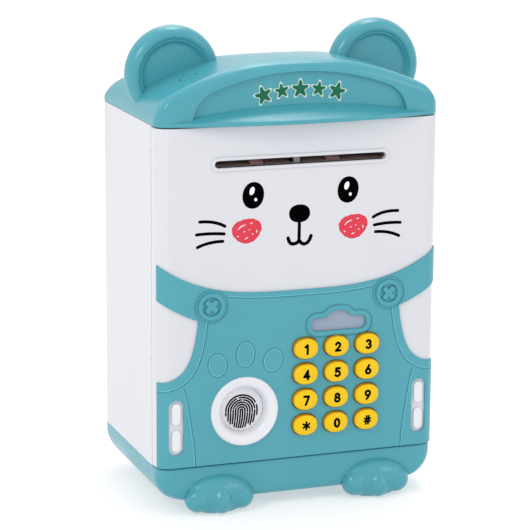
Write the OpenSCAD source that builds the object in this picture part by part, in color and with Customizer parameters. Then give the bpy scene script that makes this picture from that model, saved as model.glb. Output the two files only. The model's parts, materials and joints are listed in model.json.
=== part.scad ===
// Toy ATM savings bank: a money box with a hinged front door, a keypad lock and a banknote feeder.
// Frame: +Z up, the front faces -Y, X is zero on the middle plane, Z is zero where the paws stand.

/* [Body] */
// Width of the white body
body_w = 137; // [130:1:145]
// Depth of the body from the door's face to the back
body_d = 89; // [84:1:100]
// Height of the underside above the surface it stands on
underside_z = 5.2; // [4.5:0.1:6]
// Height of the top of the base tray
base_top = 22.3; // [22:0.1:24]
// Height of the underside of the cap
cap_z = 181; // [178:1:190]
// Thickness of the moulded walls
wall = 2.4; // [2:0.1:2.6]
// Radius of the front upright edges
front_r = 6.5; // [5:0.5:8]
// Radius of the rear upright edges
rear_r = 5.5; // [4:0.5:8]

/* [Door] */
// Depth of the door's side returns
door_d = 9.3; // [9:0.1:10]
// Gap between the door and its surround
door_gap = 0.5; // [0.4:0.1:0.8]
// Radius of the rounded hinge edge
knuckle_r = 4; // [3.5:0.1:4.2]
// Radius of the hinge pins
pin_r = 1.45; // [1.2:0.05:1.6]
// Depth of the cover behind the door
cover_d = 25; // [24:0.5:28]
// Half width of the cover behind the door
cover_x = 56; // [55:0.5:56.5]

/* [Bib] */
// Thickness of the coloured bib on the door's face
bib_t = 1.2; // [0.8:0.1:1.6]
// Height of the lowest point of the bib's top edge
bib_z = 102.9; // [100:0.5:106]
// Rise of the bib's top edge towards the corners
bib_rise = 16; // [12:1:20]
// Height of the shoulder straps
strap_h = 16.5; // [14:0.5:19]

/* [Keypad] */
// Sideways spacing of the keys
key_px = 15.3; // [14.5:0.1:16]
// Upright spacing of the keys
key_pz = 12.25; // [11.5:0.05:13]
// Width of a key
key_w = 12.3; // [11:0.1:13]
// Height of a key
key_h = 10.2; // [9:0.1:11]
// How far a key stands out of the bib
key_proud = 3; // [2:0.1:4]
// Travel of a key
key_travel = 1.2; // [0.8:0.1:1.4]

/* [Banknote feeder] */
// Width of the banknote slot
slot_w = 83; // [79:1:86]
// Height of the banknote slot
slot_h = 3.2; // [2.6:0.1:4]
// Height of the slot's middle above the standing surface
slot_z = 163.3; // [160:0.1:166]
// Radius of the feed rollers
roller_r = 5.7; // [5:0.1:6]
// Sideways place of the feed rollers
roller_x = 18.7; // [16:0.1:22]
// Gear module of the feed drive
gear_m = 0.6; // [0.5:0.05:0.7]
// Teeth on the motor pinion
pinion_teeth = 10; // [9:1:12]
// Teeth on the roller gear
gear_teeth = 30; // [26:1:32]

/* [Cap and ears] */
// Height of the cap's crest
cap_top = 209.4; // [204:0.1:212]
// Crown radius across the cap
crown_r = 139; // [135:1:200]
// Crown radius from front to back
crest_r = 100; // [90:5:120]
// Radius of the cap's side shoulders
shoulder_r = 14; // [10:1:16]
// Reach of the curved peak in front of the door
peak_reach = 8; // [6:0.5:8.5]
// Outer radius of an ear
ear_r = 22.4; // [20:0.1:24]
// Sideways place of an ear's middle
ear_x = 49.7; // [47:0.1:52]
// Height of an ear's middle
ear_z = 199.8; // [196:0.1:204]
// Thickness of an ear's rim
ear_t = 12; // [10:0.5:14]

/* [Paws] */
// Reach of the paws in front of the body
paw_reach = 9; // [7:0.5:12]
// Sideways place of a paw's middle
paw_x = 39; // [34:1:44]

/* [Hidden] */
$fn = 64;

teal = "#5aa6b2";
white = "#e6e7ea";
yellow = "#f0c823";
grey = "#8c9096";
steel = "#c4c7cc";
dark = "#2b2d31";
rubber = "#c9a6a6";
brass = "#c8a24a";
green = "#2f7d4f";

front = -(body_d - paw_reach) / 2;
back = front + body_d;
half = body_w / 2;
eps = 0.01;

// door
door_z0 = base_top + door_gap;
door_z1 = cap_z - door_gap;
pivot = [half - knuckle_r, front + door_d - knuckle_r];
seam_y = front + door_d + door_gap;
hinge_post = 9;
pin_bore = pin_r + 0.05;
pin_depth = 4.5;
cover_y = front + cover_d;
cover_t = 1.5;
cover_z0 = 27;
cover_z1 = 177;
cover_posts = [[-50, 32], [50, 32], [-50, 120], [50, 120]];
post_r = 3;

// keypad
key_x0 = 17.6;
key_z0 = 75.2;
key_gap = 0.25;
flange_t = 1.2;
membrane_y = front + wall + flange_t + 1 + key_travel + 0.3;
membrane_t = 1.2;
board_t = 1.6;

// fingerprint reader
dish = [-27.2, 47.5];
dish_r = 16.4;
throat_r = 10.6;
tube_r = 13;
pad_y = front + 3;
pad_t = 2.5;
pad_travel = 0.8;

// status window
window_x = 19;
window_z = 82.4;
window_w = 27.2;
window_h = 6.3;
window_r = 3;
bump_r = 7.5;

// side pockets of the bib
pill_x = 60;
pill_z = 42.3;
pill_w = 7;
pill_h = 26;

// feeder
shaft_y = front + 12;
shaft_r = 1.5;
shaft_bore = shaft_r + 0.05;
nip = 0.3;
drive_z = slot_z - nip - roller_r;
pinch_z = slot_z + nip + roller_r;
roller_w = 6.5;
cheek_x = 44.5;
cheek_t = 2.5;
gear_x = -52.5;
gear_w = 3.5;
motor_z = drive_z - gear_m * (pinion_teeth + gear_teeth) / 2 - 0.1;
motor_r = 7.5;
motor_shaft_r = 1;
lever_y = front + 6.5;
lever_z = slot_z + 6.9;

// lock
bolt_y = front + 15;
bolt_z = 100;
bolt_w = 5;
bolt_h = 8;
bolt_travel = 6;
bolt_tip = -cover_x + 0.2;
bolt_shoulder = bolt_tip + 9.8;
coil_x0 = -40;
coil_x1 = -20;
plunger_r = 2;

// fasteners
screw_r = 1.5;
head_r = 2.7;
head_h = 2;
body_screws = [[-63, front + 15.5], [63, front + 15.5], [-63, back - 22], [63, back - 22]];
boss_r = 3.6;
cap_grip = 6;

// battery bay
bay_y = 12;
bay_w = 52;
bay_d = 46;
cell_r = 7.2;
cell_l = 50.5;
floor_t = 2;
floor_z = underside_z + floor_t;

// ---------------------------------------------------------------- helpers

module along_x(x0, x1) translate([x0, 0, 0]) rotate([90, 0, 90]) linear_extrude(x1 - x0) children();
module along_y(y0, y1) translate([0, y1, 0]) rotate([90, 0, 0]) linear_extrude(y1 - y0) children();
module along_z(z0, z1) translate([0, 0, z0]) linear_extrude(z1 - z0) children();

// round bar along X, Y or Z between two ends
module bar_x(x0, x1, y, z, r) along_x(x0, x1) translate([y, z]) circle(r);
module bar_y(y0, y1, x, z, r) along_y(y0, y1) translate([x, z]) circle(r);
module bar_z(z0, z1, x, y, r) along_z(z0, z1) translate([x, y]) circle(r);

module box(x0, x1, y0, y1, z0, z1) translate([x0, y0, z0]) cube([x1 - x0, y1 - y0, z1 - z0]);

// flat stadium of a given width and height
module stadium(w, h) {
    r = min(w, h) / 2;
    square([w - 2 * r + (w > h ? 0 : 2 * r), h - 2 * r + (w > h ? 2 * r : 0)], center = true);
    for (s = [-1, 1]) translate(w > h ? [s * (w / 2 - r), 0] : [0, s * (h / 2 - r)]) circle(r);
}

// what a rounded corner takes away at one corner of a rectangle; sx and sy point into the rectangle
module corner_cut(x, y, sx, sy, r) if (r > 0) translate([x, y]) difference() {
    translate([sx > 0 ? -1 : -r, sy > 0 ? -1 : -r]) square(r + 1);
    translate([sx * r, sy * r]) circle(r);
}

// rectangle whose corners have their own radii in the order left-low, right-low, left-high, right-high
module rounded(a0, a1, b0, b1, r) difference() {
    translate([a0, b0]) square([a1 - a0, b1 - b0]);
    corner_cut(a0, b0, 1, 1, r[0]);
    corner_cut(a1, b0, -1, 1, r[1]);
    corner_cut(a0, b1, 1, -1, r[2]);
    corner_cut(a1, b1, -1, -1, r[3]);
}

// plan outline of the body, drawn in by an inset
module plan(inset = 0) {
    f = front_r - min(inset, front_r - 1);
    b = rear_r - min(inset, rear_r - 1);
    rounded(-half + inset, half - inset, front + inset, back - inset, [f, f, b, b]);
}

module screw(x, y, z0, z1, head = head_r) {
    bar_z(z0, z0 + head_h, x, y, head);
    bar_z(z0 + head_h - eps, z1, x, y, screw_r);
}

// ---------------------------------------------------------------- housing

module rear_housing() color(white) difference() {
    union() {
        difference() {
            along_z(base_top, cap_z) plan();
            along_z(base_top - 1, cap_z + 1) plan(wall);
        }
        for (p = body_screws) {
            bar_z(base_top + 1.6, base_top + 12, p[0], p[1], boss_r);
            bar_z(cap_z - 10, cap_z, p[0], p[1], boss_r);
        }
    }
    box(-half - 1, half + 1, front - 1, seam_y, base_top - 1, cap_z + 1);
    for (p = body_screws) {
        bar_z(base_top, base_top + 9, p[0], p[1], screw_r);
        bar_z(cap_z - 11, cap_z + 1, p[0], p[1], screw_r + 0.1);
    }
}

module lock_keeper() color(steel) difference() {
    box(-half + wall, -cover_x - 3, bolt_y - bolt_w / 2 - 2.4, bolt_y + bolt_w / 2 + 2.4,
        bolt_z - bolt_h / 2 - 2.4, bolt_z + bolt_h / 2 + 2.4);
    box(-half + wall + 2, -cover_x, bolt_y - bolt_w / 2 - 0.4, bolt_y + bolt_w / 2 + 0.4,
        bolt_z - bolt_h / 2 - 0.4, bolt_z + bolt_h / 2 + 0.4);
}

module hinge_pins() color(steel) {
    bar_z(base_top - 8, door_z0 + pin_depth - 0.3, pivot[0], pivot[1], pin_r);
    bar_z(door_z1 - pin_depth + 0.3, cap_z + 5, pivot[0], pivot[1], pin_r);
}

// ---------------------------------------------------------------- cap

// arched outline across the cap: a shallow crown that runs into round shoulders
module crown(w, top, crown_radius, shoulder) {
    corner = w / 2 - shoulder;
    centre = top - crown_radius;
    corner_z = centre + sqrt(pow(crown_radius - shoulder, 2) - corner * corner);
    reach = crown_radius * 1.5 / (corner_z - centre);
    intersection() {
        translate([0, centre]) circle(crown_radius, $fn = 256);
        translate([0, centre]) polygon([[0, 0], reach * [corner, corner_z - centre],
                                        reach * [-corner, corner_z - centre]]);
        translate([-w, cap_z]) square([2 * w, top]);
    }
    intersection() {
        for (s = [-1, 1]) translate([s * corner, corner_z]) circle(shoulder);
        translate([-w, cap_z]) square([2 * w, top]);
    }
    if (corner_z > cap_z) translate([-w / 2, cap_z]) square([w, corner_z - cap_z]);
}

// side outline of the cap: a crest near the front that falls away to the back
module crest(inset) {
    centre_y = back - sqrt(crest_r * crest_r - pow(cap_z - cap_top + crest_r, 2));
    intersection() {
        translate([centre_y, cap_top - crest_r]) circle(crest_r - inset, $fn = 256);
        translate([front + inset, cap_z - 1]) square([body_d - inset, 60]);
    }
}

module cap_solid(inset = 0) intersection() {
    along_y(front - 1, back + 1)
        crown(body_w - 2 * inset, cap_top - inset, crown_r - inset, shoulder_r - inset);
    along_x(-half - 1, half + 1) crest(inset);
    along_z(cap_z, cap_top + 1) plan(inset);
}

// curved peak over the door with a sloping top
module peak() {
    radius = (62 * 62 + peak_reach * peak_reach) / (2 * peak_reach);
    rise = atan2(6.7, peak_reach + 1.2);
    difference() {
        along_z(cap_z, cap_z + 8.5) intersection() {
            translate([0, front - peak_reach + radius]) circle(radius, $fn = 360);
            translate([-64, front - peak_reach - 1]) square([128, peak_reach + 3.5]);
        }
        translate([-70, front - peak_reach + 1, cap_z + 1.6]) rotate([rise, 0, 0])
            translate([0, -20, 0]) cube([140, 60, 30]);
    }
}

coin_y = back - 27;
module top_cap() color(teal) difference() {
    union() {
        difference() {
            cap_solid();
            intersection() {
                translate([0, 0, -eps]) cap_solid(wall);
                box(-half, half, front + 6.5, back, cap_z - 1, cap_top);
            }
            along_y(front - 1, front + 2.2) crown(102.4, 203.3, 119, 14);
        }
        peak();
        intersection() {
            cap_solid();
            union() {
                bar_z(cap_z, cap_z + 7, pivot[0], pivot[1], knuckle_r);
                for (p = body_screws) bar_z(cap_z, cap_z + 20, p[0], p[1], boss_r);
            }
        }
    }
    bar_z(cap_z - 1, cap_z + 5, pivot[0], pivot[1], pin_r);
    for (p = body_screws) bar_z(cap_z - 1, cap_z + cap_grip, p[0], p[1], screw_r);
    for (s = [-1, 1]) bar_z(cap_z + 4, cap_top, s * ear_x, front + 38, 3.6);
    box(-16, 16, coin_y - 2.3, coin_y + 2.3, cap_z + 4, cap_top + 1);
}

module ear(side) color(teal) difference() {
    union() {
        difference() {
            translate([side * ear_x, front + 38, ear_z]) rotate([90, 0, 0]) rotate_extrude() {
                translate([ear_r - ear_t / 2, 0]) circle(ear_t / 2);
                translate([0, -ear_t / 2 + 1]) square([ear_r - ear_t / 2, ear_t - 5]);
            }
            cap_solid();
            along_z(0, cap_z + eps) plan();
        }
        bar_z(cap_z + 8, ear_z, side * ear_x, front + 38, 3.5);
    }
    bar_z(cap_z + 7, cap_z + 15, side * ear_x, front + 38, screw_r);
}

module ear_screws() color(steel)
    for (s = [-1, 1]) screw(s * ear_x, front + 38, cap_z + 6, cap_z + 15, 5);

module cap_screws() color(steel)
    for (p = body_screws) screw(p[0], p[1], cap_z - 10 - head_h, cap_z + cap_grip);

// ---------------------------------------------------------------- base

module base_solid(inset = 0, low = 0) intersection() {
    along_z(underside_z + low, base_top) plan(inset);
    along_y(front - 1, back + 1)
        rounded(-half + inset, half - inset, underside_z + low, base_top + 40,
            [13.5 - inset, 13.5 - inset, 0, 0]);
    along_x(-half - 1, half + 1)
        rounded(front + inset, back - inset, underside_z + low, base_top + 40,
            [4 - inset, 14 - inset, 0, 0]);
}

module battery_outline(gap = 0) {
    translate([0, bay_y]) square([bay_w - 2 * gap, bay_d - 2 * gap], center = true);
    translate([0, bay_y + bay_d / 2 + 3]) square([10 - 2 * gap, 8 - 2 * gap], center = true);
}

cover_screw_y = bay_y + bay_d / 2 + 3.2;
module base_tray() color(teal) difference() {
    union() {
        difference() {
            base_solid();
            translate([0, 0, eps]) base_solid(wall, floor_t);
        }
        intersection() {
            base_solid();
            union() {
                for (p = body_screws) bar_z(underside_z, base_top, p[0], p[1], boss_r);
                bar_z(underside_z, base_top, pivot[0], pivot[1], knuckle_r - 0.3);
            }
        }
        difference() {
            along_z(floor_z - eps, base_top - 0.8)
                translate([0, bay_y]) square([bay_w + 5, bay_d + 3], center = true);
            along_z(floor_z - 1, base_top) translate([0, bay_y]) square([bay_w + 2, bay_d], center = true);
        }
        box(-5, 5, bay_y + bay_d / 2 + 1.5 - eps, bay_y + bay_d / 2 + 7.5, floor_z - eps, floor_z + 9);
    }
    along_z(underside_z - 1, floor_z) battery_outline();
    bar_z(floor_z - 1, floor_z + 7, 0, cover_screw_y, screw_r);
    bar_z(base_top - 8, base_top + 1, pivot[0], pivot[1], pin_r);
    for (p = body_screws) {
        bar_z(underside_z - 1, base_top + 1, p[0], p[1], screw_r + 0.1);
        bar_z(underside_z - 1, underside_z + 8, p[0], p[1], head_r + 0.3);
    }
    for (a = [0 : 60 : 300]) bar_z(underside_z - 1, floor_z + 1, -41 + 5 * cos(a), 8 + 5 * sin(a), 1.2);
    bar_z(underside_z - 1, floor_z + 1, -41, 8, 1.2);
}

module paw(side) color(teal) intersection() {
    union() {
        for (t = [-1, 0, 1]) hull() {
            translate([side * paw_x + t * 10.2, front - paw_reach + 6.8, 6.5]) sphere(6.8, $fn = 32);
            translate([side * paw_x + t * 6.5, front + 1, 11.8 - abs(t) * 1.5]) sphere(8, $fn = 32);
        }
    }
    box(-half, half, front - 20, front, 0, base_top - 1);
}

module rear_feet() color(dark)
    for (s = [-1, 1]) bar_z(0, underside_z, s * 40, back - 24, 6);

module cash_floor() color(grey) difference() {
    along_z(base_top, base_top + 1.6) intersection() {
        plan(wall + 0.2);
        translate([-half, seam_y + 0.2]) square([body_w, body_d]);
    }
    for (p = body_screws) bar_z(base_top - 1, base_top + 3, p[0], p[1], screw_r + 0.1);
}

module base_screws() color(steel)
    for (p = body_screws) screw(p[0], p[1], underside_z + 6, base_top + 9);

module battery_cover() color(teal) difference() {
    along_z(underside_z, floor_z) battery_outline(0.3);
    bar_z(underside_z - 1, floor_z + 1, 0, cover_screw_y, screw_r + 0.1);
    bar_z(underside_z - 1, underside_z + 1.2, 0, cover_screw_y, head_r + 0.2);
}

module battery_cover_screw() color(steel) {
    bar_z(underside_z + 0.1, underside_z + 1.2, 0, cover_screw_y, head_r);
    bar_z(underside_z + 1.2 - eps, floor_z + 7, 0, cover_screw_y, screw_r);
}

module battery_cells() color(brass)
    for (k = [-1, 0, 1]) {
        y = bay_y + k * (2 * cell_r + 0.4);
        bar_x(-cell_l / 2, cell_l / 2 - 1, y, floor_z + cell_r + 0.1, cell_r);
        bar_x(cell_l / 2 - 1 - eps, cell_l / 2, y, floor_z + cell_r + 0.1, 2.7);
    }

module battery_contacts() color(steel)
    for (k = [-1, 0, 1], s = [-1, 1]) {
        y = bay_y + k * (2 * cell_r + 0.4);
        along_x(s > 0 ? bay_w / 2 + 0.5 : -bay_w / 2 - 1, s > 0 ? bay_w / 2 + 1 : -bay_w / 2 - 0.5)
            translate([y, floor_z + cell_r + 0.1]) square([9, 9], center = true);
        bar_x(s > 0 ? cell_l / 2 : -bay_w / 2 - 0.5 - eps, s > 0 ? bay_w / 2 + 0.5 + eps : -cell_l / 2,
              y, floor_z + cell_r + 0.1, 3);
    }

module speaker() color(dark) {
    bar_z(floor_z + 0.05, floor_z + 3, -41, 8, 11);
    bar_z(floor_z + 3 - eps, floor_z + 7, -41, 8, 6);
}

// ---------------------------------------------------------------- door

// bib outline in the plane of the door: a wide hem that sweeps up to the shoulder straps
function bib_edge(x) = bib_z + bib_rise * pow(abs(x) / 68.5, 3.3);
function bezier(a, b, c, t) = (1 - t) * (1 - t) * a + 2 * t * (1 - t) * b + t * t * c;

module bib_outline() {
    steps = 40;
    wide = half + 4;
    inner = 49.3;
    outer = 70;
    strap_end = [inner, bib_edge(inner) - strap_h];
    cut = [for (k = [0 : 10]) bezier(strap_end, [50.5, 64.4], [outer, 63.9], k / 10)];
    hem = [for (k = [0 : 9]) let (x = outer + (inner - outer) * k / 10) [x, bib_edge(x) - strap_h]];
    difference() {
        polygon(concat([[-wide, door_z0], [wide, door_z0]],
                       [for (k = [0 : steps]) let (x = wide - 2 * wide * k / steps) [x, bib_edge(x)]]));
        for (m = [0, 1]) mirror([m, 0]) polygon(concat(cut, hem));
    }
}

module key_outline(grow = 0) stadium(key_w + 2 * grow, key_h + 2 * grow);
function key_x(i) = key_x0 + (i % 3 - 1) * key_px;
function key_z(i) = key_z0 - floor(i / 3) * key_pz;

module window_outline(grow = 0) {
    r = window_r + grow;
    rounded(window_x - window_w / 2 - grow, window_x + window_w / 2 + grow,
            window_z - grow, window_z + window_h + grow, [r, r, r, r]);
    intersection() {
        translate([window_x, window_z + 2]) circle(bump_r + grow);
        translate([window_x - 20, window_z + 2]) square([40, 20]);
    }
}

module door_openings(y0, y1, grow) {
    for (i = [0 : 11]) along_y(y0, y1) translate([key_x(i), key_z(i)]) key_outline(grow);
    bar_y(y0, y1, dish[0], dish[1], tube_r);
}

module door_panel() color(white) difference() {
    union() {
        along_z(door_z0, door_z1) {
            intersection() {
                plan();
                union() {
                    translate([-half, front]) square([body_w, door_d - knuckle_r]);
                    translate([-half, front]) square([body_w - knuckle_r, door_d]);
                }
            }
            intersection() {
                plan();
                translate(pivot) circle(knuckle_r);
            }
        }
        along_y(front - 0.8, front + 1) translate([0, slot_z]) stadium(slot_w + 3.6, slot_h + 3.6);
        for (s = [-1, 1], k = [-1, 1]) along_y(front - 0.9, front + 1)
            translate([s * pill_x, pill_z + k * 6.4]) stadium(3.8, 10);
    }
    difference() {
        box(-half + wall + 0.8, half - hinge_post, front + wall, front + 30, door_z0 + 2.2, door_z1 - 2.2);
        for (p = cover_posts) bar_y(front, cover_y - cover_t, p[0], p[1], post_r);
    }
    for (p = cover_posts) bar_y(front + 10, cover_y, p[0], p[1], screw_r);
    door_openings(front - 3, front + wall + 1, key_gap);
    along_y(front - 3, front + wall + 1) window_outline(1.2);
    along_y(front - 3, front + wall + 1) translate([0, slot_z]) stadium(slot_w, slot_h);
    bar_z(door_z0 - 1, door_z0 + pin_depth, pivot[0], pivot[1], pin_bore);
    bar_z(door_z1 - pin_depth, door_z1 + 1, pivot[0], pivot[1], pin_bore);
}

bib_buttons = [[-43.5, 98.4], [43.5, 98.4]];
module bib_panel() color(teal) difference() {
    union() {
        intersection() {
            along_y(front - 4, pivot[1]) bib_outline();
            difference() {
                along_z(door_z0, bib_z + 30)
                    rounded(-half - 0.5, half + 0.5, front - bib_t, back,
                        [front_r + 0.5, front_r + 0.5, 1, 1]);
                along_z(door_z0 - 1, bib_z + 31) plan();
            }
        }
        for (b = bib_buttons) bar_y(front - bib_t - 1.4, front, b[0], b[1], 6.6);
    }
    for (b = bib_buttons) difference() {
        bar_y(front - bib_t - 2, front - bib_t - 0.2, b[0], b[1], 4.6);
        for (a = [45, -45]) translate([b[0], front, b[1]]) rotate([0, a, 0])
            box(-4, 4, -bib_t - 1, 0, -0.9, 0.9);
    }
    door_openings(front - 3, front + 1, key_gap);
    along_y(front - 3, front + 1) window_outline();
    for (s = [-1, 1]) along_y(front - 4, front + 3) translate([s * pill_x, pill_z]) stadium(pill_w, pill_h);
}

module status_window() color("#a0aac0", 0.8) {
    along_y(front, front + wall) window_outline(1.2);
    along_y(front + wall - eps, front + wall + 1) intersection() {
        window_outline(2.4);
        translate([window_x - 30, window_z - 1.1]) square([60, 40]);
    }
}

module indicator_leds() color("#d8d8d0")
    for (k = [-1, 0, 1]) bar_y(front + 5, membrane_y + membrane_t, window_x + 8 * k, window_z + 3.6, 1.5);

// white dish that guides a fingertip, turned about the Y axis
module fingerprint_bezel() color(white) translate([dish[0], front, dish[1]]) rotate([-90, 0, 0])
    rotate_extrude()
        polygon([[throat_r, 5.5], [throat_r, 1.4], [11.4, 0.2], [12.6, -0.8], [14.2, -bib_t - 1.2],
                 [dish_r - 0.8, -bib_t - 1.2], [dish_r, -bib_t - 0.6], [dish_r, -bib_t], [tube_r, -bib_t],
                 [tube_r, 5.5]]);

module fingerprint_pad() color(white) {
    bar_y(pad_y, pad_y + pad_t, dish[0], dish[1], throat_r - 0.2);
    bar_y(pad_y + pad_t, pad_y + pad_t + 1, dish[0], dish[1], throat_r + 1.4);
}

module touch_switch() color(dark) {
    y0 = pad_y + pad_t + 1 + pad_travel + 0.3;
    along_y(y0, y0 + 2) translate(dish) square([8, 8], center = true);
    along_y(y0 + 2, y0 + 3.6) translate(dish) square([24, 24], center = true);
}

module key(i) color(yellow) {
    face = front - bib_t - key_proud;
    intersection() {
        along_y(face, front + wall) translate([key_x(i), key_z(i)]) key_outline();
        translate([key_x(i), face + 20, key_z(i)]) sphere(20, $fn = 96);
    }
    along_y(front + wall, front + wall + flange_t)
        translate([key_x(i), key_z(i)]) stadium(key_w + 1.6, key_h + 1.6);
    bar_y(front + wall + flange_t - eps, front + wall + flange_t + 1, key_x(i), key_z(i), 2);
}

module key_membrane() color(grey)
    along_y(membrane_y, membrane_y + membrane_t)
        rounded(key_x0 - key_px - 8, key_x0 + key_px + 8, key_z(11) - 7, key_z(0) + 6.6, [2, 2, 2, 2]);

module control_board() color(green)
    along_y(membrane_y + membrane_t, membrane_y + membrane_t + board_t)
        translate([-8, 31]) square([55, 66]);

module inner_cover() color(grey) difference() {
    box(-cover_x, cover_x, front + wall, cover_y, cover_z0, cover_z1);
    box(-cover_x + cover_t, cover_x - cover_t, front, cover_y - cover_t,
        cover_z0 + cover_t, cover_z1 - cover_t);
    along_y(cover_y - 5, cover_y + 1) translate([0, slot_z]) stadium(slot_w + 4, 6);
    for (p = cover_posts) bar_y(cover_y - 5, cover_y + 1, p[0], p[1], screw_r + 0.1);
    box(-cover_x - 1, -cover_x + 3, bolt_y - bolt_w / 2 - 0.3, bolt_y + bolt_w / 2 + 0.3,
        bolt_z - bolt_h / 2 - 0.3, bolt_z + bolt_h / 2 + 0.3);
}

module inner_cover_screws() color(steel)
    for (p = cover_posts) {
        bar_y(front + 12, cover_y + eps, p[0], p[1], screw_r);
        bar_y(cover_y, cover_y + head_h, p[0], p[1], head_r);
    }

// ---------------------------------------------------------------- banknote feeder

module bill_guide() color(white) {
    deck_y0 = front + wall;
    deck_y1 = cover_y - cover_t;
    for (s = [-1, 1]) difference() {
        box(s > 0 ? cheek_x : -cheek_x - cheek_t, s > 0 ? cheek_x + cheek_t : -cheek_x,
            deck_y0, deck_y1, s > 0 ? drive_z - 5 : motor_z - 9, pinch_z + 4);
        bar_x(-60, 60, shaft_y, drive_z, shaft_bore);
        bar_x(-60, 60, shaft_y, pinch_z, shaft_bore);
        if (s < 0) bar_x(-60, 0, shaft_y, motor_z, 3);
    }
    for (s = [-1, 1]) difference() {
        z0 = s > 0 ? slot_z + slot_h / 2 : slot_z - slot_h / 2 - 1.4;
        box(-cheek_x, cheek_x, deck_y0, deck_y1, z0, z0 + 1.4);
        for (x = [-roller_x, roller_x]) box(x - 4.5, x + 4.5, shaft_y - 7, shaft_y + 7, z0 - 1, z0 + 3);
        box(-2.4, 2.4, deck_y0 - 1, deck_y1 - 3, z0 - 1, z0 + 3);
    }
    for (s = [-1, 1]) difference() {
        box(s > 0 ? 3 : -4.6, s > 0 ? 4.6 : -3, lever_y - 2, lever_y + 2,
            slot_z + slot_h / 2 + 1.3, lever_z + 2.2);
        bar_x(-6, 6, lever_y, lever_z, 1.05);
    }
}

// toothed disc: involute flanks, thinned a little so that a meshing pair runs freely
function involute(base, angle) = base * [cos(angle) + angle * PI / 180 * sin(angle),
                                         sin(angle) - angle * PI / 180 * cos(angle)];
function turn(p, a) = [p[0] * cos(a) - p[1] * sin(a), p[0] * sin(a) + p[1] * cos(a)];

module gear_outline(teeth, thin = 0.12) {
    pitch = gear_m * teeth / 2;
    base = pitch * cos(20);
    tip = pitch + gear_m * 0.95;
    root = pitch - gear_m * 1.3;
    tip_roll = sqrt(pow(tip / base, 2) - 1) * 180 / PI;
    pitch_roll = tan(20) * 180 / PI;
    half_tooth = 90 / teeth + pitch_roll - 20 - thin / pitch * 90 / PI;
    flank = [for (k = [0 : 4]) turn(involute(base, tip_roll * k / 4), -half_tooth)];
    mirrored = [for (k = [4 : -1 : 0]) [flank[k][0], -flank[k][1]]];
    foot = turn([root, 0], -half_tooth);
    polygon([for (n = [0 : teeth - 1], p = concat([foot], flank, mirrored, [[foot[0], -foot[1]]]))
             turn(p, n * 360 / teeth)]);
}

module drive_gear() color(white) difference() {
    along_x(gear_x, gear_x + gear_w) translate([shaft_y, drive_z]) rotate(-90) gear_outline(gear_teeth);
    bar_x(gear_x - 1, gear_x + gear_w + 1, shaft_y, drive_z, shaft_r);
}

module motor_pinion() color(brass) {
    along_x(gear_x, gear_x + gear_w) translate([shaft_y, motor_z])
        rotate(90 + 180 / pinion_teeth) gear_outline(pinion_teeth);
    bar_x(gear_x, -cheek_x + 6, shaft_y, motor_z, motor_shaft_r);
}

module feed_motor() color(steel) difference() {
    union() {
        bar_x(-cheek_x, -cheek_x + 20, shaft_y, motor_z, motor_r);
        bar_x(-cheek_x - 1.5, -cheek_x, shaft_y, motor_z, 2.9);
    }
    bar_x(-cheek_x - 2, -cheek_x + 7, shaft_y, motor_z, motor_shaft_r + 0.05);
}

module drive_shaft() color(steel) bar_x(gear_x, cheek_x + cheek_t + 1.5, shaft_y, drive_z, shaft_r);
module pinch_shaft() color(steel)
    bar_x(-cheek_x - cheek_t - 1.5, cheek_x + cheek_t + 1.5, shaft_y, pinch_z, shaft_r);

module rollers(z) color(rubber) for (x = [-roller_x, roller_x]) difference() {
    bar_x(x - roller_w / 2, x + roller_w / 2, shaft_y, z, roller_r);
    bar_x(x - roller_w, x + roller_w, shaft_y, z, shaft_r);
}
module drive_rollers() rollers(drive_z);
module pinch_rollers() rollers(pinch_z);

module bill_sensor_lever() color(white) {
    bar_x(-4.4, 4.4, lever_y, lever_z, 1);
    bar_x(-1.5, 1.5, lever_y, lever_z, 1.8);
    box(-1.5, 1.5, lever_y - 0.8, lever_y + 0.8, slot_z - slot_h / 2 - 1, lever_z);
}

// ---------------------------------------------------------------- lock

module lock_solenoid() color(dark) difference() {
    box(coil_x0, coil_x1, bolt_y - 6, bolt_y + 6, bolt_z - 7, bolt_z + 7);
    bar_x(coil_x0 - 1, coil_x1 - 2, bolt_y, bolt_z, plunger_r + 0.05);
}

module lock_bolt() color(steel) {
    box(bolt_tip, bolt_shoulder, bolt_y - bolt_w / 2, bolt_y + bolt_w / 2,
        bolt_z - bolt_h / 2, bolt_z + bolt_h / 2);
    bar_x(bolt_shoulder - eps, coil_x0 + 16, bolt_y, bolt_z, plunger_r);
}

// coil spring along X, swept as a closed tube around a helix
module coil(x0, x1, y, z, r, wire, turns) {
    sides = 8;
    steps = turns * 20;
    run = x1 - x0 - 2 * wire;
    function centre(k) = [x0 + wire + run * k / steps, y + r * cos(k * 18), z + r * sin(k * 18)];
    rings = [for (k = [0 : steps], a = [0 : sides - 1])
        centre(k) + wire * (cos(a * 45) * [0, cos(k * 18), sin(k * 18)] + sin(a * 45) * [1, 0, 0])];
    walls = [for (k = [0 : steps - 1], a = [0 : sides - 1])
        [k * sides + a, k * sides + (a + 1) % sides,
            (k + 1) * sides + (a + 1) % sides, (k + 1) * sides + a]];
    ends = [[for (a = [sides - 1 : -1 : 0]) a], [for (a = [0 : sides - 1]) steps * sides + a]];
    polyhedron(rings, concat(walls, ends), convexity = 8);
}

module lock_spring() color(steel) coil(bolt_shoulder, coil_x0, bolt_y, bolt_z, plunger_r + 0.8, 0.35, 4);

// ---------------------------------------------------------------- nodes

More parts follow.
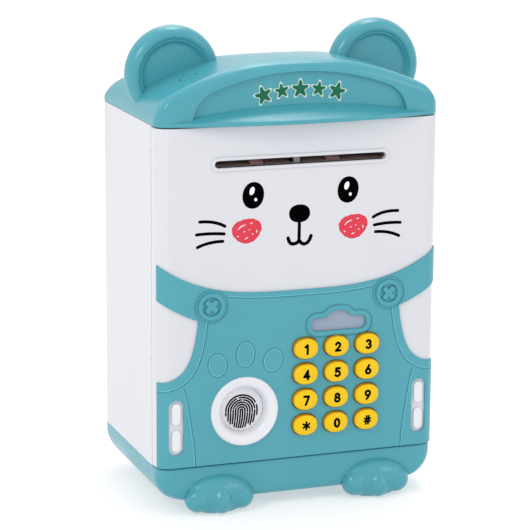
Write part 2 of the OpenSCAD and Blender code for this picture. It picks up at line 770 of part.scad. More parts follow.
rear_housing();
top_cap();
ear(-1);  // left_ear
ear(1);  // right_ear
ear_screws();
cap_screws();
base_tray();
paw(-1);  // left_paw
paw(1);  // right_paw
rear_feet();
cash_floor();
base_screws();
battery_cover();
battery_cover_screw();
battery_cells();
battery_contacts();
speaker();
hinge_pins();
lock_keeper();
door_panel();
bib_panel();
status_window();
indicator_leds();
fingerprint_bezel();
touch_switch();
key_membrane();
control_board();
inner_cover();
inner_cover_screws();
bill_guide();
feed_motor();
lock_solenoid();
key(0);  // key_1
key(1);  // key_2
key(2);  // key_3
key(3);  // key_4
key(4);  // key_5
key(5);  // key_6
key(6);  // key_7
key(7);  // key_8
key(8);  // key_9
key(9);  // key_star
key(10);  // key_0
key(11);  // key_hash
fingerprint_pad();
drive_shaft();
drive_rollers();
drive_gear();
motor_pinion();
pinch_shaft();
pinch_rollers();
bill_sensor_lever();
lock_bolt();
lock_spring();
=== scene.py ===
"""Looks of a toy savings bank with a hinged front door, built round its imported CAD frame.

Lengths are in millimetres while a piece is modelled, and in metres once it is finished.
+Z is up, the front faces -Y, and X is zero on the middle plane.
"""

from __future__ import annotations

import json
import logging
import math
from collections.abc import Callable, Iterator, Sequence
from contextlib import contextmanager
from dataclasses import dataclass, field
from enum import Enum

import bmesh
import bpy
from mathutils import Matrix, Vector

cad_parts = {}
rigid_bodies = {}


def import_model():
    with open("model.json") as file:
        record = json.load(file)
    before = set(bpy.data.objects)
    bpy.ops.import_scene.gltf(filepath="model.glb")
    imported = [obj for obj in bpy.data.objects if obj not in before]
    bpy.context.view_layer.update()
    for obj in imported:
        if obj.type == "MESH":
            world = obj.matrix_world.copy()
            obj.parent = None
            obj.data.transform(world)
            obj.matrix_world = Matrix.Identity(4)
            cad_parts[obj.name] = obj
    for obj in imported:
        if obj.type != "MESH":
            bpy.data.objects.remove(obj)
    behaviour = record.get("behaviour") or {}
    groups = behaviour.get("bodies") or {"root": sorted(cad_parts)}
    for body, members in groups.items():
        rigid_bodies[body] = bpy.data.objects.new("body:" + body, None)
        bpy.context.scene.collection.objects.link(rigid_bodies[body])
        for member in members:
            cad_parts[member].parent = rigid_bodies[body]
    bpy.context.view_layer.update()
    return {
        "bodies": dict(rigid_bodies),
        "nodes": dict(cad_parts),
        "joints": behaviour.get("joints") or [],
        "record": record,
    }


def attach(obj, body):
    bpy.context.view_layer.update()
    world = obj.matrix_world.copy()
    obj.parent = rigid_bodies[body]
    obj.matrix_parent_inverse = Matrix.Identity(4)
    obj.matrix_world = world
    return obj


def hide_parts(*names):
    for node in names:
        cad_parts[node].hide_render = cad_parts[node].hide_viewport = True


log = logging.getLogger("savings_bank")

METRE = 0.001
CUT_GAP = 0.0004
LOFT_GAP = 0.0005
SPIN_GAP = 0.0008
SMOOTH_ANGLE = math.radians(32)

Point2 = tuple[float, float]
Outline = list[Point2]
Ring = list[Vector]
Rgb = tuple[int, int, int]


class Facing(Enum):
    """The plane that a flat outline is drawn in, and so the axis of its depth."""

    FRONT = "front"
    TOP = "top"
    SIDE = "side"

    def place(self, a: float, b: float, depth: float) -> Vector:
        """Returns the point at (a, b) of the plane and the given depth."""
        if self is Facing.FRONT:
            return Vector((a, depth, b))
        if self is Facing.TOP:
            return Vector((a, b, depth))
        return Vector((depth, a, b))


class Side(Enum):
    """Left or right of the bank, as seen from its front."""

    LEFT = -1
    RIGHT = 1

    @property
    def word(self) -> str:
        """The side's name in lower case."""
        return self.name.lower()


# ---------------------------------------------------------------- outlines


def arc(cx: float, cz: float, rx: float, rz: float, start: float, stop: float, steps: int = 16) -> Outline:
    """Samples an elliptical arc.

    Args:
        cx: Centre, first coordinate.
        cz: Centre, second coordinate.
        rx: Radius along the first coordinate.
        rz: Radius along the second coordinate.
        start: First angle in degrees.
        stop: Last angle in degrees.
        steps: Number of steps between the two.

    Returns:
        steps + 1 points.
    """
    angles = [math.radians(start + (stop - start) * k / steps) for k in range(steps + 1)]
    return [(cx + rx * math.cos(a), cz + rz * math.sin(a)) for a in angles]


def ellipse(
    cx: float, cz: float, rx: float, rz: float, tilt: float = 0.0, steps: int = 40, power: float = 2.0
) -> Outline:
    """Returns a closed ellipse or superellipse, turned by tilt degrees, anticlockwise."""
    turn = math.radians(tilt)
    outline = []
    for k in range(steps):
        a = 2 * math.pi * k / steps
        c, s = math.cos(a), math.sin(a)
        x = rx * math.copysign(abs(c) ** (2 / power), c)
        z = rz * math.copysign(abs(s) ** (2 / power), s)
        across = cx + x * math.cos(turn) - z * math.sin(turn)
        upward = cz + x * math.sin(turn) + z * math.cos(turn)
        outline.append((across, upward))
    return outline


def circle(cx: float, cz: float, r: float, steps: int) -> Outline:
    """Returns a closed circle, anticlockwise."""
    return ellipse(cx, cz, r, r, steps=steps)


def stadium(cx: float, cz: float, width: float, height: float, steps: int = 12) -> Outline:
    """Returns a bar with half-round ends, anticlockwise."""
    r = min(width, height) / 2
    if width > height:
        reach = width / 2 - r
        return arc(cx + reach, cz, r, r, -90, 90, steps) + arc(cx - reach, cz, r, r, 90, 270, steps)
    reach = height / 2 - r
    return arc(cx, cz + reach, r, r, 0, 180, steps) + arc(cx, cz - reach, r, r, 180, 360, steps)


def rectangle(x0: float, x1: float, z0: float, z1: float) -> Outline:
    """Returns a plain rectangle, anticlockwise."""
    return [(x0, z0), (x1, z0), (x1, z1), (x0, z1)]


def inset(outline: Outline, distance: float) -> Outline:
    """Draws a closed anticlockwise outline in by a distance, or out if that is negative.

    Args:
        outline: Corners of the outline.
        distance: How far every edge moves inwards.

    Returns:
        As many corners as were given.
    """
    moved = []
    count = len(outline)
    for k in range(count):
        (ax, az), (bx, bz), (cx, cz) = outline[k - 1], outline[k], outline[(k + 1) % count]
        first = Vector((az - bz, bx - ax)).normalized()
        second = Vector((bz - cz, cx - bx)).normalized()
        step = (first + second) / max(1 + first.dot(second), 0.35) * distance
        moved.append((bx + step.x, bz + step.y))
    return moved


def bezier(a: Point2, b: Point2, c: Point2, t: float) -> Point2:
    """Returns the point at t of a curve with three control points."""
    u = 1 - t
    return (u * u * a[0] + 2 * t * u * b[0] + t * t * c[0], u * u * a[1] + 2 * t * u * b[1] + t * t * c[1])


@dataclass
class Shapes:
    """Flat faces that are printed or cut together."""

    points: Outline = field(default_factory=list)
    faces: list[list[int]] = field(default_factory=list)

    def add_outline(self, outline: Outline) -> None:
        """Adds one closed outline as one face."""
        start = len(self.points)
        self.points += outline
        self.faces.append(list(range(start, start + len(outline))))

    def add_stroke(self, line: Outline, width: float, closed: bool = False, taper: float = 1.0) -> None:
        """Adds a pen stroke along a line, with round ends.

        Args:
            line: Points of the middle line.
            width: Width of the pen.
            closed: Whether the line runs back to its start.
            taper: Share of the width that is left at both ends.
        """
        count = len(line)
        start = len(self.points)
        for k in range(count):
            before = line[k - 1] if closed or k else line[k]
            after = line[(k + 1) % count] if closed or k < count - 1 else line[k]
            along = Vector((after[0] - before[0], after[1] - before[1])).normalized()
            share = 1.0 if closed else taper + (1 - taper) * math.sin(math.pi * k / (count - 1))
            half = width / 2 * share
            self.points.append((line[k][0] - along.y * half, line[k][1] + along.x * half))
            self.points.append((line[k][0] + along.y * half, line[k][1] - along.x * half))
        for k in range(count if closed else count - 1):
            a, b = start + 2 * k, start + 2 * ((k + 1) % count)
            self.faces.append([a, a + 1, b + 1, b])
        if closed:
            return
        for end, other in ((0, 1), (count - 1, count - 2)):
            away = Vector((line[end][0] - line[other][0], line[end][1] - line[other][1]))
            angle = math.degrees(math.atan2(away.y, away.x))
            r = width / 2 * taper
            rim = arc(line[end][0], line[end][1], r, r, angle - 90, angle + 90, 8)[1:-1]
            first, last = (start + 2 * end + 1, start + 2 * end) if end else (start, start + 1)
            self.faces.append([first, *range(len(self.points), len(self.points) + len(rim)), last])
            self.points += rim


# ---------------------------------------------------------------- modelling


def deselect() -> None:
    """Leaves nothing selected."""
    bpy.ops.object.select_all(action="DESELECT")


def activate(obj: bpy.types.Object) -> None:
    """Selects one object and makes it the active one."""
    deselect()
    obj.select_set(True)
    bpy.context.view_layer.objects.active = obj


@contextmanager
def editing(obj: bpy.types.Object) -> Iterator[None]:
    """Opens an object in edit mode with everything selected, and closes it again."""
    activate(obj)
    bpy.ops.object.mode_set(mode="EDIT")
    bpy.ops.mesh.select_mode(type="VERT")
    bpy.ops.mesh.select_all(action="SELECT")
    try:
        yield
    finally:
        bpy.ops.object.mode_set(mode="OBJECT")


def seal(gap: float, fill: bool = True) -> None:
    """Merges near points in edit mode, fills the holes if asked to, and turns the faces outwards."""
    bpy.ops.mesh.select_all(action="SELECT")
    bpy.ops.mesh.remove_doubles(threshold=gap)
    if fill:
        bpy.ops.mesh.fill_holes(sides=0)
    bpy.ops.mesh.select_all(action="SELECT")
    bpy.ops.mesh.normals_make_consistent(inside=False)


def add_mesh(name: str, points: Sequence, edges: Sequence, faces: Sequence) -> bpy.types.Object:
    """Adds an object made of the given points, edges and faces."""
    mesh = bpy.data.meshes.new(name)
    mesh.from_pydata(points, edges, faces)
    obj = bpy.data.objects.new(name, mesh)
    bpy.context.scene.collection.objects.link(obj)
    return obj


def start_loop(name: str, ring: Ring) -> bpy.types.Object:
    """Adds a circle primitive whose points lie on a ring, and numbers them.

    Args:
        name: Name of the new object.
        ring: Places of the points, in order.

    Returns:
        The new object.
    """
    deselect()
    bpy.ops.mesh.primitive_circle_add(vertices=len(ring), radius=1.0, fill_type="NOTHING")
    obj = bpy.context.active_object
    obj.name = name
    obj.data.name = name
    number = obj.data.attributes.new("number", "INT", "POINT")
    for k, place in enumerate(ring):
        obj.data.vertices[k].co = place
        number.data[k].value = k
    return obj


def loft(name: str, rings: Sequence[Ring], close: bool = True) -> bpy.types.Object:
    """Extrudes a loop from ring to ring.

    Args:
        name: Name of the new object.
        rings: Rings with the same number of points.
        close: Whether the open ends get a face.

    Returns:
        A closed object if close is set or both ends shrink to a line.
    """
    obj = start_loop(name, rings[0])
    with editing(obj):
        for ring in rings[1:]:
            bpy.ops.mesh.extrude_edges_move()
            bm = bmesh.from_edit_mesh(obj.data)
            number = bm.verts.layers.int["number"]
            for vert in bm.verts:
                if vert.select:
                    vert.co = ring[vert[number]]
        bmesh.update_edit_mesh(obj.data)
        seal(LOFT_GAP, fill=close)
    drop_number(obj)
    return obj


def drop_number(obj: bpy.types.Object) -> None:
    """Removes the numbers that lofting needed."""
    number = obj.data.attributes.get("number")
    if number:
        obj.data.attributes.remove(number)


def plate(
    name: str,
    outline: Outline,
    facing: Facing,
    near: float,
    far: float,
    edge: float = 0.0,
    far_edge: float = 0.0,
) -> bpy.types.Object:
    """Makes a flat plate with rounded rims.

    Args:
        name: Name of the new object.
        outline: Closed anticlockwise outline.
        facing: Plane of the outline.
        near: Depth of the first face.
        far: Depth of the second face.
        edge: Radius of the rim at the first face.
        far_edge: Radius of the rim at the second face.

    Returns:
        The closed plate.
    """
    sign = 1.0 if far > near else -1.0
    levels: list[tuple[float, float]] = []
    steps = 4
    if edge > 0:
        for k in range(steps):
            a = math.pi / 2 * k / steps
            levels.append((near + sign * edge * (1 - math.cos(a)), edge * (1 - math.sin(a))))
    levels.append((near + sign * edge, 0.0))
    levels.append((far - sign * far_edge, 0.0))
    if far_edge > 0:
        for k in range(steps - 1, -1, -1):
            a = math.pi / 2 * k / steps
            levels.append((far - sign * far_edge * (1 - math.cos(a)), far_edge * (1 - math.sin(a))))
    rings = []
    for depth, draw in levels:
        flat = inset(outline, draw) if draw > 0 else outline
        rings.append([facing.place(a, b, depth) for a, b in flat])
    return loft(name, rings)


def revolve(name: str, profile: Outline, centre: Vector, axis: Vector, steps: int) -> bpy.types.Object:
    """Spins a profile about an axis.

    Args:
        name: Name of the new object.
        profile: Pairs of radius and distance along the axis.
        centre: Point on the axis that distances start from.
        axis: Direction of the axis, along X, Y or Z.
        steps: Steps of the full turn.

    Returns:
        The closed object.
    """
    out = Vector((1, 0, 0)) if abs(axis.x) < 0.5 else Vector((0, 1, 0))
    points = [centre + out * r + axis * h for r, h in profile]
    obj = add_mesh(name, points, [(k, k + 1) for k in range(len(profile) - 1)], [])
    with editing(obj):
        bpy.ops.mesh.spin(steps=steps, angle=2 * math.pi, center=centre, axis=axis)
        seal(SPIN_GAP)
    return obj


def modify(obj: bpy.types.Object, kind: str, **settings: object) -> None:
    """Adds a modifier, sets it and applies it."""
    activate(obj)
    modifier = obj.modifiers.new(kind.lower(), kind)
    for key, value in settings.items():
        setattr(modifier, key, value)
    bpy.ops.object.modifier_apply(modifier=modifier.name)


def join(name: str, parts: Sequence[bpy.types.Object]) -> bpy.types.Object:
    """Joins objects into one with the given name."""
    deselect()
    for part in parts:
        part.select_set(True)
    bpy.context.view_layer.objects.active = parts[0]
    if len(parts) > 1:
        bpy.ops.object.join()
    parts[0].name = name
    parts[0].data.name = name
    return parts[0]


def cut(obj: bpy.types.Object, cutters: Sequence[bpy.types.Object], overlapping: bool = False) -> None:
    """Takes cutters away from an object, and removes them.

    Args:
        obj: Object that is cut.
        cutters: Closed objects.
        overlapping: Whether the cutters run into each other.
    """
    tool = join("cutter", cutters)
    modify(obj, "BOOLEAN", operation="DIFFERENCE", solver="EXACT", object=tool, use_self=overlapping)
    bpy.data.objects.remove(tool)
    with editing(obj):
        bpy.ops.mesh.dissolve_degenerate(threshold=CUT_GAP)
        bpy.ops.mesh.remove_doubles(threshold=CUT_GAP)


def solid_shapes(
    name: str, shapes: Shapes, near: float, far: float, lift: Callable[[float, float], float] | None = None
) -> bpy.types.Object:
    """Gives flat front-facing shapes a thickness.

    Args:
        name: Name of the new object.
        shapes: The faces, in X and Z.
        near: Depth of the front.
        far: Depth of the back.
        lift: Extra depth of the surface below at a point.

    Returns:
        A closed solid for every connected group of faces.
    """
    points = [(x, near + (lift(x, z) if lift else 0.0), z) for x, z in shapes.points]
    obj = add_mesh(name, points, [], shapes.faces)
    with editing(obj):
        bpy.ops.mesh.normals_make_consistent(inside=False)
        bpy.ops.mesh.extrude_region_move(TRANSFORM_OT_translate={"value": (0, far - near, 0)})
        bpy.ops.mesh.select_all(action="SELECT")
        bpy.ops.mesh.normals_make_consistent(inside=False)
    return obj


def bisect(obj: bpy.types.Object, place: Vector, normal: Vector, clear: bool = False) -> None:
    """Cuts through an object with a plane, and clears and closes its outer side if asked to."""
    with editing(obj):
        bpy.ops.mesh.bisect(plane_co=place, plane_no=normal, clear_outer=clear, use_fill=clear)


def dress(
    obj: bpy.types.Object,
    material: bpy.types.Material,
    body: str,
    replaces: Sequence[str] = (),
    weighted: bool = True,
) -> None:
    """Turns a modelled piece into a finished one, in metres.

    Args:
        obj: The piece, in millimetres.
        material: Its finish.
        body: CAD body that it moves with.
        replaces: CAD nodes that it stands for.
        weighted: Whether flat faces keep flat shading next to rounded rims.
    """
    obj.data.transform(Matrix.Scale(METRE, 4))
    obj.data.materials.clear()
    obj.data.materials.append(material)
    activate(obj)
    bpy.ops.object.shade_smooth_by_angle(angle=SMOOTH_ANGLE, keep_sharp_edges=False)
    if weighted:
        modify(obj, "WEIGHTED_NORMAL", mode="FACE_AREA", weight=50, keep_sharp=True)
    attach(obj, body)
    if replaces:
        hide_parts(*replaces)
    log.info("%s rides on %s, %d faces", obj.name, body, len(obj.data.polygons))


# ---------------------------------------------------------------- finishes


def linear(colour: Rgb) -> tuple[float, float, float, float]:
    """Turns an 8-bit display colour into a linear one."""
    channels = (((c / 255 + 0.055) / 1.055) ** 2.4 if c > 10 else c / 3294.6 for c in colour)
    return (*channels, 1.0)


def start_group(name: str, numbers: dict[str, float]) -> bpy.types.NodeTree:
    """Starts a node group that takes two tones and some numbers, and gives colour, roughness and height.

    Args:
        name: Name of the group.
        numbers: The numbers it takes, with their usual values.

    Returns:
        The group, with sockets and no nodes.
    """
    tree = bpy.data.node_groups.new(name, "ShaderNodeTree")
    add = tree.interface.new_socket
    for tone in ("Tone", "Deep tone"):
        add(name=tone, in_out="INPUT", socket_type="NodeSocketColor")
    for number, usual in numbers.items():
        add(name=number, in_out="INPUT", socket_type="NodeSocketFloat").default_value = usual
    add(name="Color", in_out="OUTPUT", socket_type="NodeSocketColor")
    for number in ("Roughness", "Height"):
        add(name=number, in_out="OUTPUT", socket_type="NodeSocketFloat")
    return tree


def add_node(tree: bpy.types.NodeTree, kind: str, **inputs: object) -> bpy.types.Node:
    """Adds a node and sets its inputs, whose names are written with underscores for spaces."""
    node = tree.nodes.new(kind)
    for name, value in inputs.items():
        node.inputs[name.replace("_", " ")].default_value = value
    return node


def add_mix(tree: bpy.types.NodeTree) -> bpy.types.Node:
    """Adds a node that mixes two colours."""
    node = tree.nodes.new("ShaderNodeMix")
    node.data_type = "RGBA"
    return node


def wire(tree: bpy.types.NodeTree, *links: tuple[bpy.types.Node, str, bpy.types.Node, str]) -> None:
    """Links outputs to inputs, each given as node, output, node, input."""
    for source, output, target, socket in links:
        tree.links.new(source.outputs[output], target.inputs[socket])


def moulded_skin() -> bpy.types.NodeTree:
    """Builds the group that gives every moulded or cast part its skin.

    Returns:
        A group that mixes two close tones by flow streaks, varies the gloss, and gives a fine grain's height.
    """
    numbers = {"Flow scale": 40.0, "Grain scale": 1800.0, "Roughness low": 0.25, "Roughness high": 0.35}
    tree = start_group("moulded_skin", numbers)
    given, out = add_node(tree, "NodeGroupInput"), add_node(tree, "NodeGroupOutput")
    place = add_node(tree, "ShaderNodeTexCoord")
    stretch = add_node(tree, "ShaderNodeMapping", Scale=(1.0, 1.0, 0.45))
    flow = add_node(tree, "ShaderNodeTexNoise", Detail=3.0, Roughness=0.55)
    grain = add_node(tree, "ShaderNodeTexNoise", Detail=2.0)
    tone = add_mix(tree)
    gloss = add_node(tree, "ShaderNodeMapRange")
    wire(
        tree,
        (place, "Object", stretch, "Vector"),
        (stretch, "Vector", flow, "Vector"),
        (place, "Object", grain, "Vector"),
        (given, "Flow scale", flow, "Scale"),
        (given, "Grain scale", grain, "Scale"),
        (flow, "Fac", tone, "Factor"),
        (given, "Tone", tone, "A"),
        (given, "Deep tone", tone, "B"),
        (flow, "Fac", gloss, "Value"),
        (given, "Roughness low", gloss, "To Min"),
        (given, "Roughness high", gloss, "To Max"),
        (tone, "Result", out, "Color"),
        (gloss, "Result", out, "Roughness"),
        (grain, "Fac", out, "Height"),
    )
    return tree


def drawn_metal() -> bpy.types.NodeTree:
    """Builds the group for metal, with fine lines along one axis and a dull bloom."""
    tree = start_group("drawn_metal", {"Line scale": 900.0})
    given, out = add_node(tree, "NodeGroupInput"), add_node(tree, "NodeGroupOutput")
    place = add_node(tree, "ShaderNodeTexCoord")
    stretch = add_node(tree, "ShaderNodeMapping", Scale=(0.08, 1.0, 1.0))
    lines = add_node(tree, "ShaderNodeTexNoise", Detail=4.0)
    bloom = add_node(tree, "ShaderNodeTexNoise", Scale=120.0)
    tone = add_mix(tree)
    gloss = add_node(tree, "ShaderNodeMapRange", To_Min=0.24, To_Max=0.48)
    wire(
        tree,
        (place, "Object", stretch, "Vector"),
        (stretch, "Vector", lines, "Vector"),
        (given, "Line scale", lines, "Scale"),
        (place, "Object", bloom, "Vector"),
        (bloom, "Fac", tone, "Factor"),
        (given, "Tone", tone, "A"),
        (given, "Deep tone", tone, "B"),
        (lines, "Fac", gloss, "Value"),
        (tone, "Result", out, "Color"),
        (gloss, "Result", out, "Roughness"),
        (lines, "Fac", out, "Height"),
    )
    return tree


@dataclass(frozen=True)
class Plastic:
    """A moulded plastic, rubber or printed ink."""

    name: str
    tone: Rgb
    deep: Rgb
    flow_scale: float = 40.0
    grain_scale: float = 1800.0
    grain_depth: float = 0.00002
    gloss: tuple[float, float] = (0.24, 0.36)
    specular: float = 0.5
    coat: float = 0.0
    alpha: float = 1.0

    def build(self, groups: dict[str, bpy.types.NodeTree]) -> bpy.types.Material:
        """Returns the material, built on the shared skin group."""
        material, shader, skin = start_material(self.name, groups["moulded_skin"])
        skin.inputs["Tone"].default_value = linear(self.tone)
        skin.inputs["Deep tone"].default_value = linear(self.deep)
        skin.inputs["Flow scale"].default_value = self.flow_scale
        skin.inputs["Grain scale"].default_value = self.grain_scale
        skin.inputs["Roughness low"].default_value = self.gloss[0]
        skin.inputs["Roughness high"].default_value = self.gloss[1]
        shader.inputs["Specular IOR Level"].default_value = self.specular
        shader.inputs["Coat Weight"].default_value = self.coat
        shader.inputs["Coat Roughness"].default_value = 0.08
        shader.inputs["Alpha"].default_value = self.alpha
        finish_material(material, shader, skin, self.grain_depth)
        return material


@dataclass(frozen=True)
class Metal:
    """A bare or plated metal."""

    name: str
    tone: Rgb
    deep: Rgb
    line_scale: float = 900.0
    line_depth: float = 0.00002

    def build(self, groups: dict[str, bpy.types.NodeTree]) -> bpy.types.Material:
        """Returns the material, built on the shared metal group."""
        material, shader, skin = start_material(self.name, groups["drawn_metal"])
        skin.inputs["Tone"].default_value = linear(self.tone)
        skin.inputs["Deep tone"].default_value = linear(self.deep)
        skin.inputs["Line scale"].default_value = self.line_scale
        shader.inputs["Metallic"].default_value = 1.0
        finish_material(material, shader, skin, self.line_depth)
        return material


def start_material(
    name: str, group: bpy.types.NodeTree
) -> tuple[bpy.types.Material, bpy.types.Node, bpy.types.Node]:
    """Makes a node material that holds a shader and one shared group.

    Args:
        name: Name of the material.
        group: The group that gives colour, roughness and height.

    Returns:
        The material, its shader and its group node.
    """
    material = bpy.data.materials.new(name)
    material.use_nodes = True
    shader = material.node_tree.nodes["Principled BSDF"]
    skin = material.node_tree.nodes.new("ShaderNodeGroup")
    skin.node_tree = group
    return material, shader, skin


def finish_material(
    material: bpy.types.Material, shader: bpy.types.Node, skin: bpy.types.Node, depth: float
) -> None:
    """Joins a group's outputs to the shader, its height through a bump of the given depth in metres."""
    bump = add_node(material.node_tree, "ShaderNodeBump", Strength=0.35, Distance=depth)
    wire(
        material.node_tree,
        (skin, "Color", shader, "Base Color"),
        (skin, "Roughness", shader, "Roughness"),
        (skin, "Height", bump, "Height"),
        (bump, "Normal", shader, "Normal"),
    )


FINISHES = (
    Plastic("teal_plastic", (70, 154, 168), (64, 147, 161), gloss=(0.2, 0.3)),
    # A lighter copy of the teal, used as a painted highlight on the strips beside the bib's grooves.
    Plastic("teal_bright", (98, 182, 194), (92, 176, 188), gloss=(0.2, 0.3)),
    Plastic("white_plastic", (208, 209, 214), (204, 205, 211), gloss=(0.26, 0.38)),
    Plastic("dish_white", (220, 221, 226), (215, 216, 222), gloss=(0.2, 0.28)),
    Plastic("key_yellow", (232, 192, 6), (226, 184, 4), gloss=(0.3, 0.42), specular=0.25),
    # A darker copy of the key yellow, used as painted shade on the keys' steep sides.
    Plastic("key_amber", (196, 144, 4), (186, 134, 2), gloss=(0.35, 0.45), specular=0.25),
    Plastic("window_lavender", (144, 157, 176), (136, 149, 170), gloss=(0.16, 0.24)),
    Plastic("ink_black", (3, 3, 4), (6, 6, 7), flow_scale=200.0, gloss=(0.4, 0.52), specular=0.0),
    Plastic("ink_coral", (214, 66, 82), (204, 54, 72), flow_scale=500.0, gloss=(0.4, 0.55), specular=0.15),
    Plastic("ink_white", (236, 236, 238), (228, 228, 232), flow_scale=200.0, gloss=(0.4, 0.5)),
    Plastic("ink_green", (24, 104, 74), (16, 90, 62), flow_scale=300.0, gloss=(0.35, 0.5), specular=0.2),
    Plastic("ink_pale", (196, 216, 204), (182, 206, 194), flow_scale=300.0, gloss=(0.35, 0.5)),
    Plastic("grey_plastic", (128, 132, 140), (116, 120, 128), gloss=(0.4, 0.55), grain_depth=0.00006),
    Plastic("guide_brown", (208, 192, 187), (188, 172, 167), gloss=(0.4, 0.55), specular=0.2),
    Plastic("black_plastic", (30, 31, 34), (40, 41, 45), gloss=(0.4, 0.58), grain_depth=0.00005),
    Plastic("foot_rubber", (42, 42, 45), (54, 54, 57), gloss=(0.6, 0.8), grain_depth=0.00012),
    Plastic("membrane_rubber", (120, 124, 130), (104, 108, 114), gloss=(0.5, 0.7), grain_depth=0.00008),
    Plastic("roller_rubber", (226, 188, 184), (210, 170, 168), gloss=(0.5, 0.7), grain_depth=0.00008),
    Plastic("led_resin", (226, 226, 216), (208, 210, 200), gloss=(0.08, 0.16), coat=0.5),
    Plastic("board_green", (38, 104, 62), (24, 80, 48), flow_scale=260.0, gloss=(0.3, 0.45)),
    Plastic("cell_wrap", (196, 150, 62), (172, 124, 44), gloss=(0.25, 0.35), coat=0.4),
    Metal("steel", (196, 199, 204), (168, 172, 178)),
    Metal("brass", (206, 168, 92), (178, 138, 66)),
)


class Paints:
    """All materials by name."""

    def __init__(self) -> None:
        """Builds the shared groups and every finish once."""
        groups = {tree.name: tree for tree in (moulded_skin(), drawn_metal())}
        self.by_name = {finish.name: finish.build(groups) for finish in FINISHES}

    def __getitem__(self, name: str) -> bpy.types.Material:
        """Returns the material of that name."""
        return self.by_name[name]


# ---------------------------------------------------------------- the body


@dataclass
class BodyPlan:
    """The upright outline that all the shells share."""

    half: float = 68.5
    front: float = -40.0
    back: float = 49.0
    front_r: float = 6.5
    rear_r: float = 5.5
    base_top: float = 22.3
    cap_z: float = 181.0
    seam_y: float = -30.2
    long_steps: int = 48
    short_steps: int = 30
    corner_steps: int = 10

    def ring(
        self, x_inset: float, front_inset: float, back_inset: float, front_r: float, rear_r: float
    ) -> Outline:
        """Returns a rounded rectangle in X and Y that always has the same number of points.

        Args:
            x_inset: How far both sides are drawn in.
            front_inset: How far the front is drawn in.
            back_inset: How far the back is drawn in.
            front_r: Radius of the front corners.
            rear_r: Radius of the rear corners.

        Returns:
            Points anticlockwise seen from above, from the front's left end.
        """
        x0, x1 = -self.half + x_inset, self.half - x_inset
        y0, y1 = self.front + front_inset, self.back - back_inset
        corners = (
            (x1 - front_r, y0 + front_r, front_r, -90),
            (x1 - rear_r, y1 - rear_r, rear_r, 0),
            (x0 + rear_r, y1 - rear_r, rear_r, 90),
            (x0 + front_r, y0 + front_r, front_r, 180),
        )
        starts = [arc(cx, cy, r, r, a, a + 90, self.corner_steps) for cx, cy, r, a in corners]
        outline: Outline = []
        for k, steps in enumerate((self.short_steps, self.long_steps) * 2):
            outline += starts[k]
            ax, ay = starts[k][-1]
            bx, by = starts[(k + 1) % 4][0]
            outline += [(ax + (bx - ax) * n / steps, ay + (by - ay) * n / steps) for n in range(1, steps)]
        return outline


PLAN = BodyPlan()


@dataclass
class RearHousing:
    """The white shell of the sides and the back."""

    wall: float = 2.4
    edge: float = 0.5
    post_r: float = 3.6
    posts: tuple[Point2, ...] = ((-63.0, -24.5), (63.0, -24.5), (-63.0, 27.0), (63.0, 27.0))
    mark_heights: tuple[float, ...] = (73.0, 169.0)
    mark_depth: float = 0.35

    def outline(self) -> Outline:
        """Returns the U-shaped wall, seen from above."""
        p = PLAN
        outer = p.half
        inner = outer - self.wall
        r, s = p.rear_r, p.rear_r - self.wall
        right = [(outer - self.edge, p.seam_y), (outer - 0.15, p.seam_y + 0.15)]
        run = [(outer, p.seam_y + self.edge), (outer, p.seam_y + 8), (outer, 10.0)]
        far = arc(outer - r, p.back - r, r, r, 0, 90, 12)
        near = arc(inner - s, p.back - self.wall - s, s, s, 90, 0, 8)
        half = right + run + far
        inside = near + [(inner, p.seam_y)]
        left_out = [(-x, y) for x, y in reversed(half)]
        left_in = [(-x, y) for x, y in reversed(inside)]
        return half + left_out + left_in + inside

    def build(self, paints: Paints) -> None:
        """Makes the shell with its screw posts and the small latch marks beside the seam."""
        shell = plate("rear_shell", self.outline(), Facing.TOP, PLAN.base_top, PLAN.cap_z)
        marks = []
        for side in Side:
            depths = side.value * (PLAN.half - self.mark_depth), side.value * (PLAN.half + 1)
            for z in self.mark_heights:
                marks.append(plate("mark", stadium(PLAN.seam_y + 1.6, z, 0.9, 2.0), Facing.SIDE, *depths))
        cut(shell, marks)
        dress(shell, paints["white_plastic"], "housing", ["rear_housing"])
        spans = ((PLAN.base_top + 1.6, PLAN.base_top + 12), (PLAN.cap_z - 10, PLAN.cap_z - 0.2))
        for k, (x, y) in enumerate(self.posts):
            for level, (low, high) in enumerate(spans):
                plan = circle(x, y, self.post_r, 32)
                post = plate(f"screw_post_{k}_{level}", plan, Facing.TOP, low, high, 0.3, 0.3)
                dress(post, paints["white_plastic"], "housing")


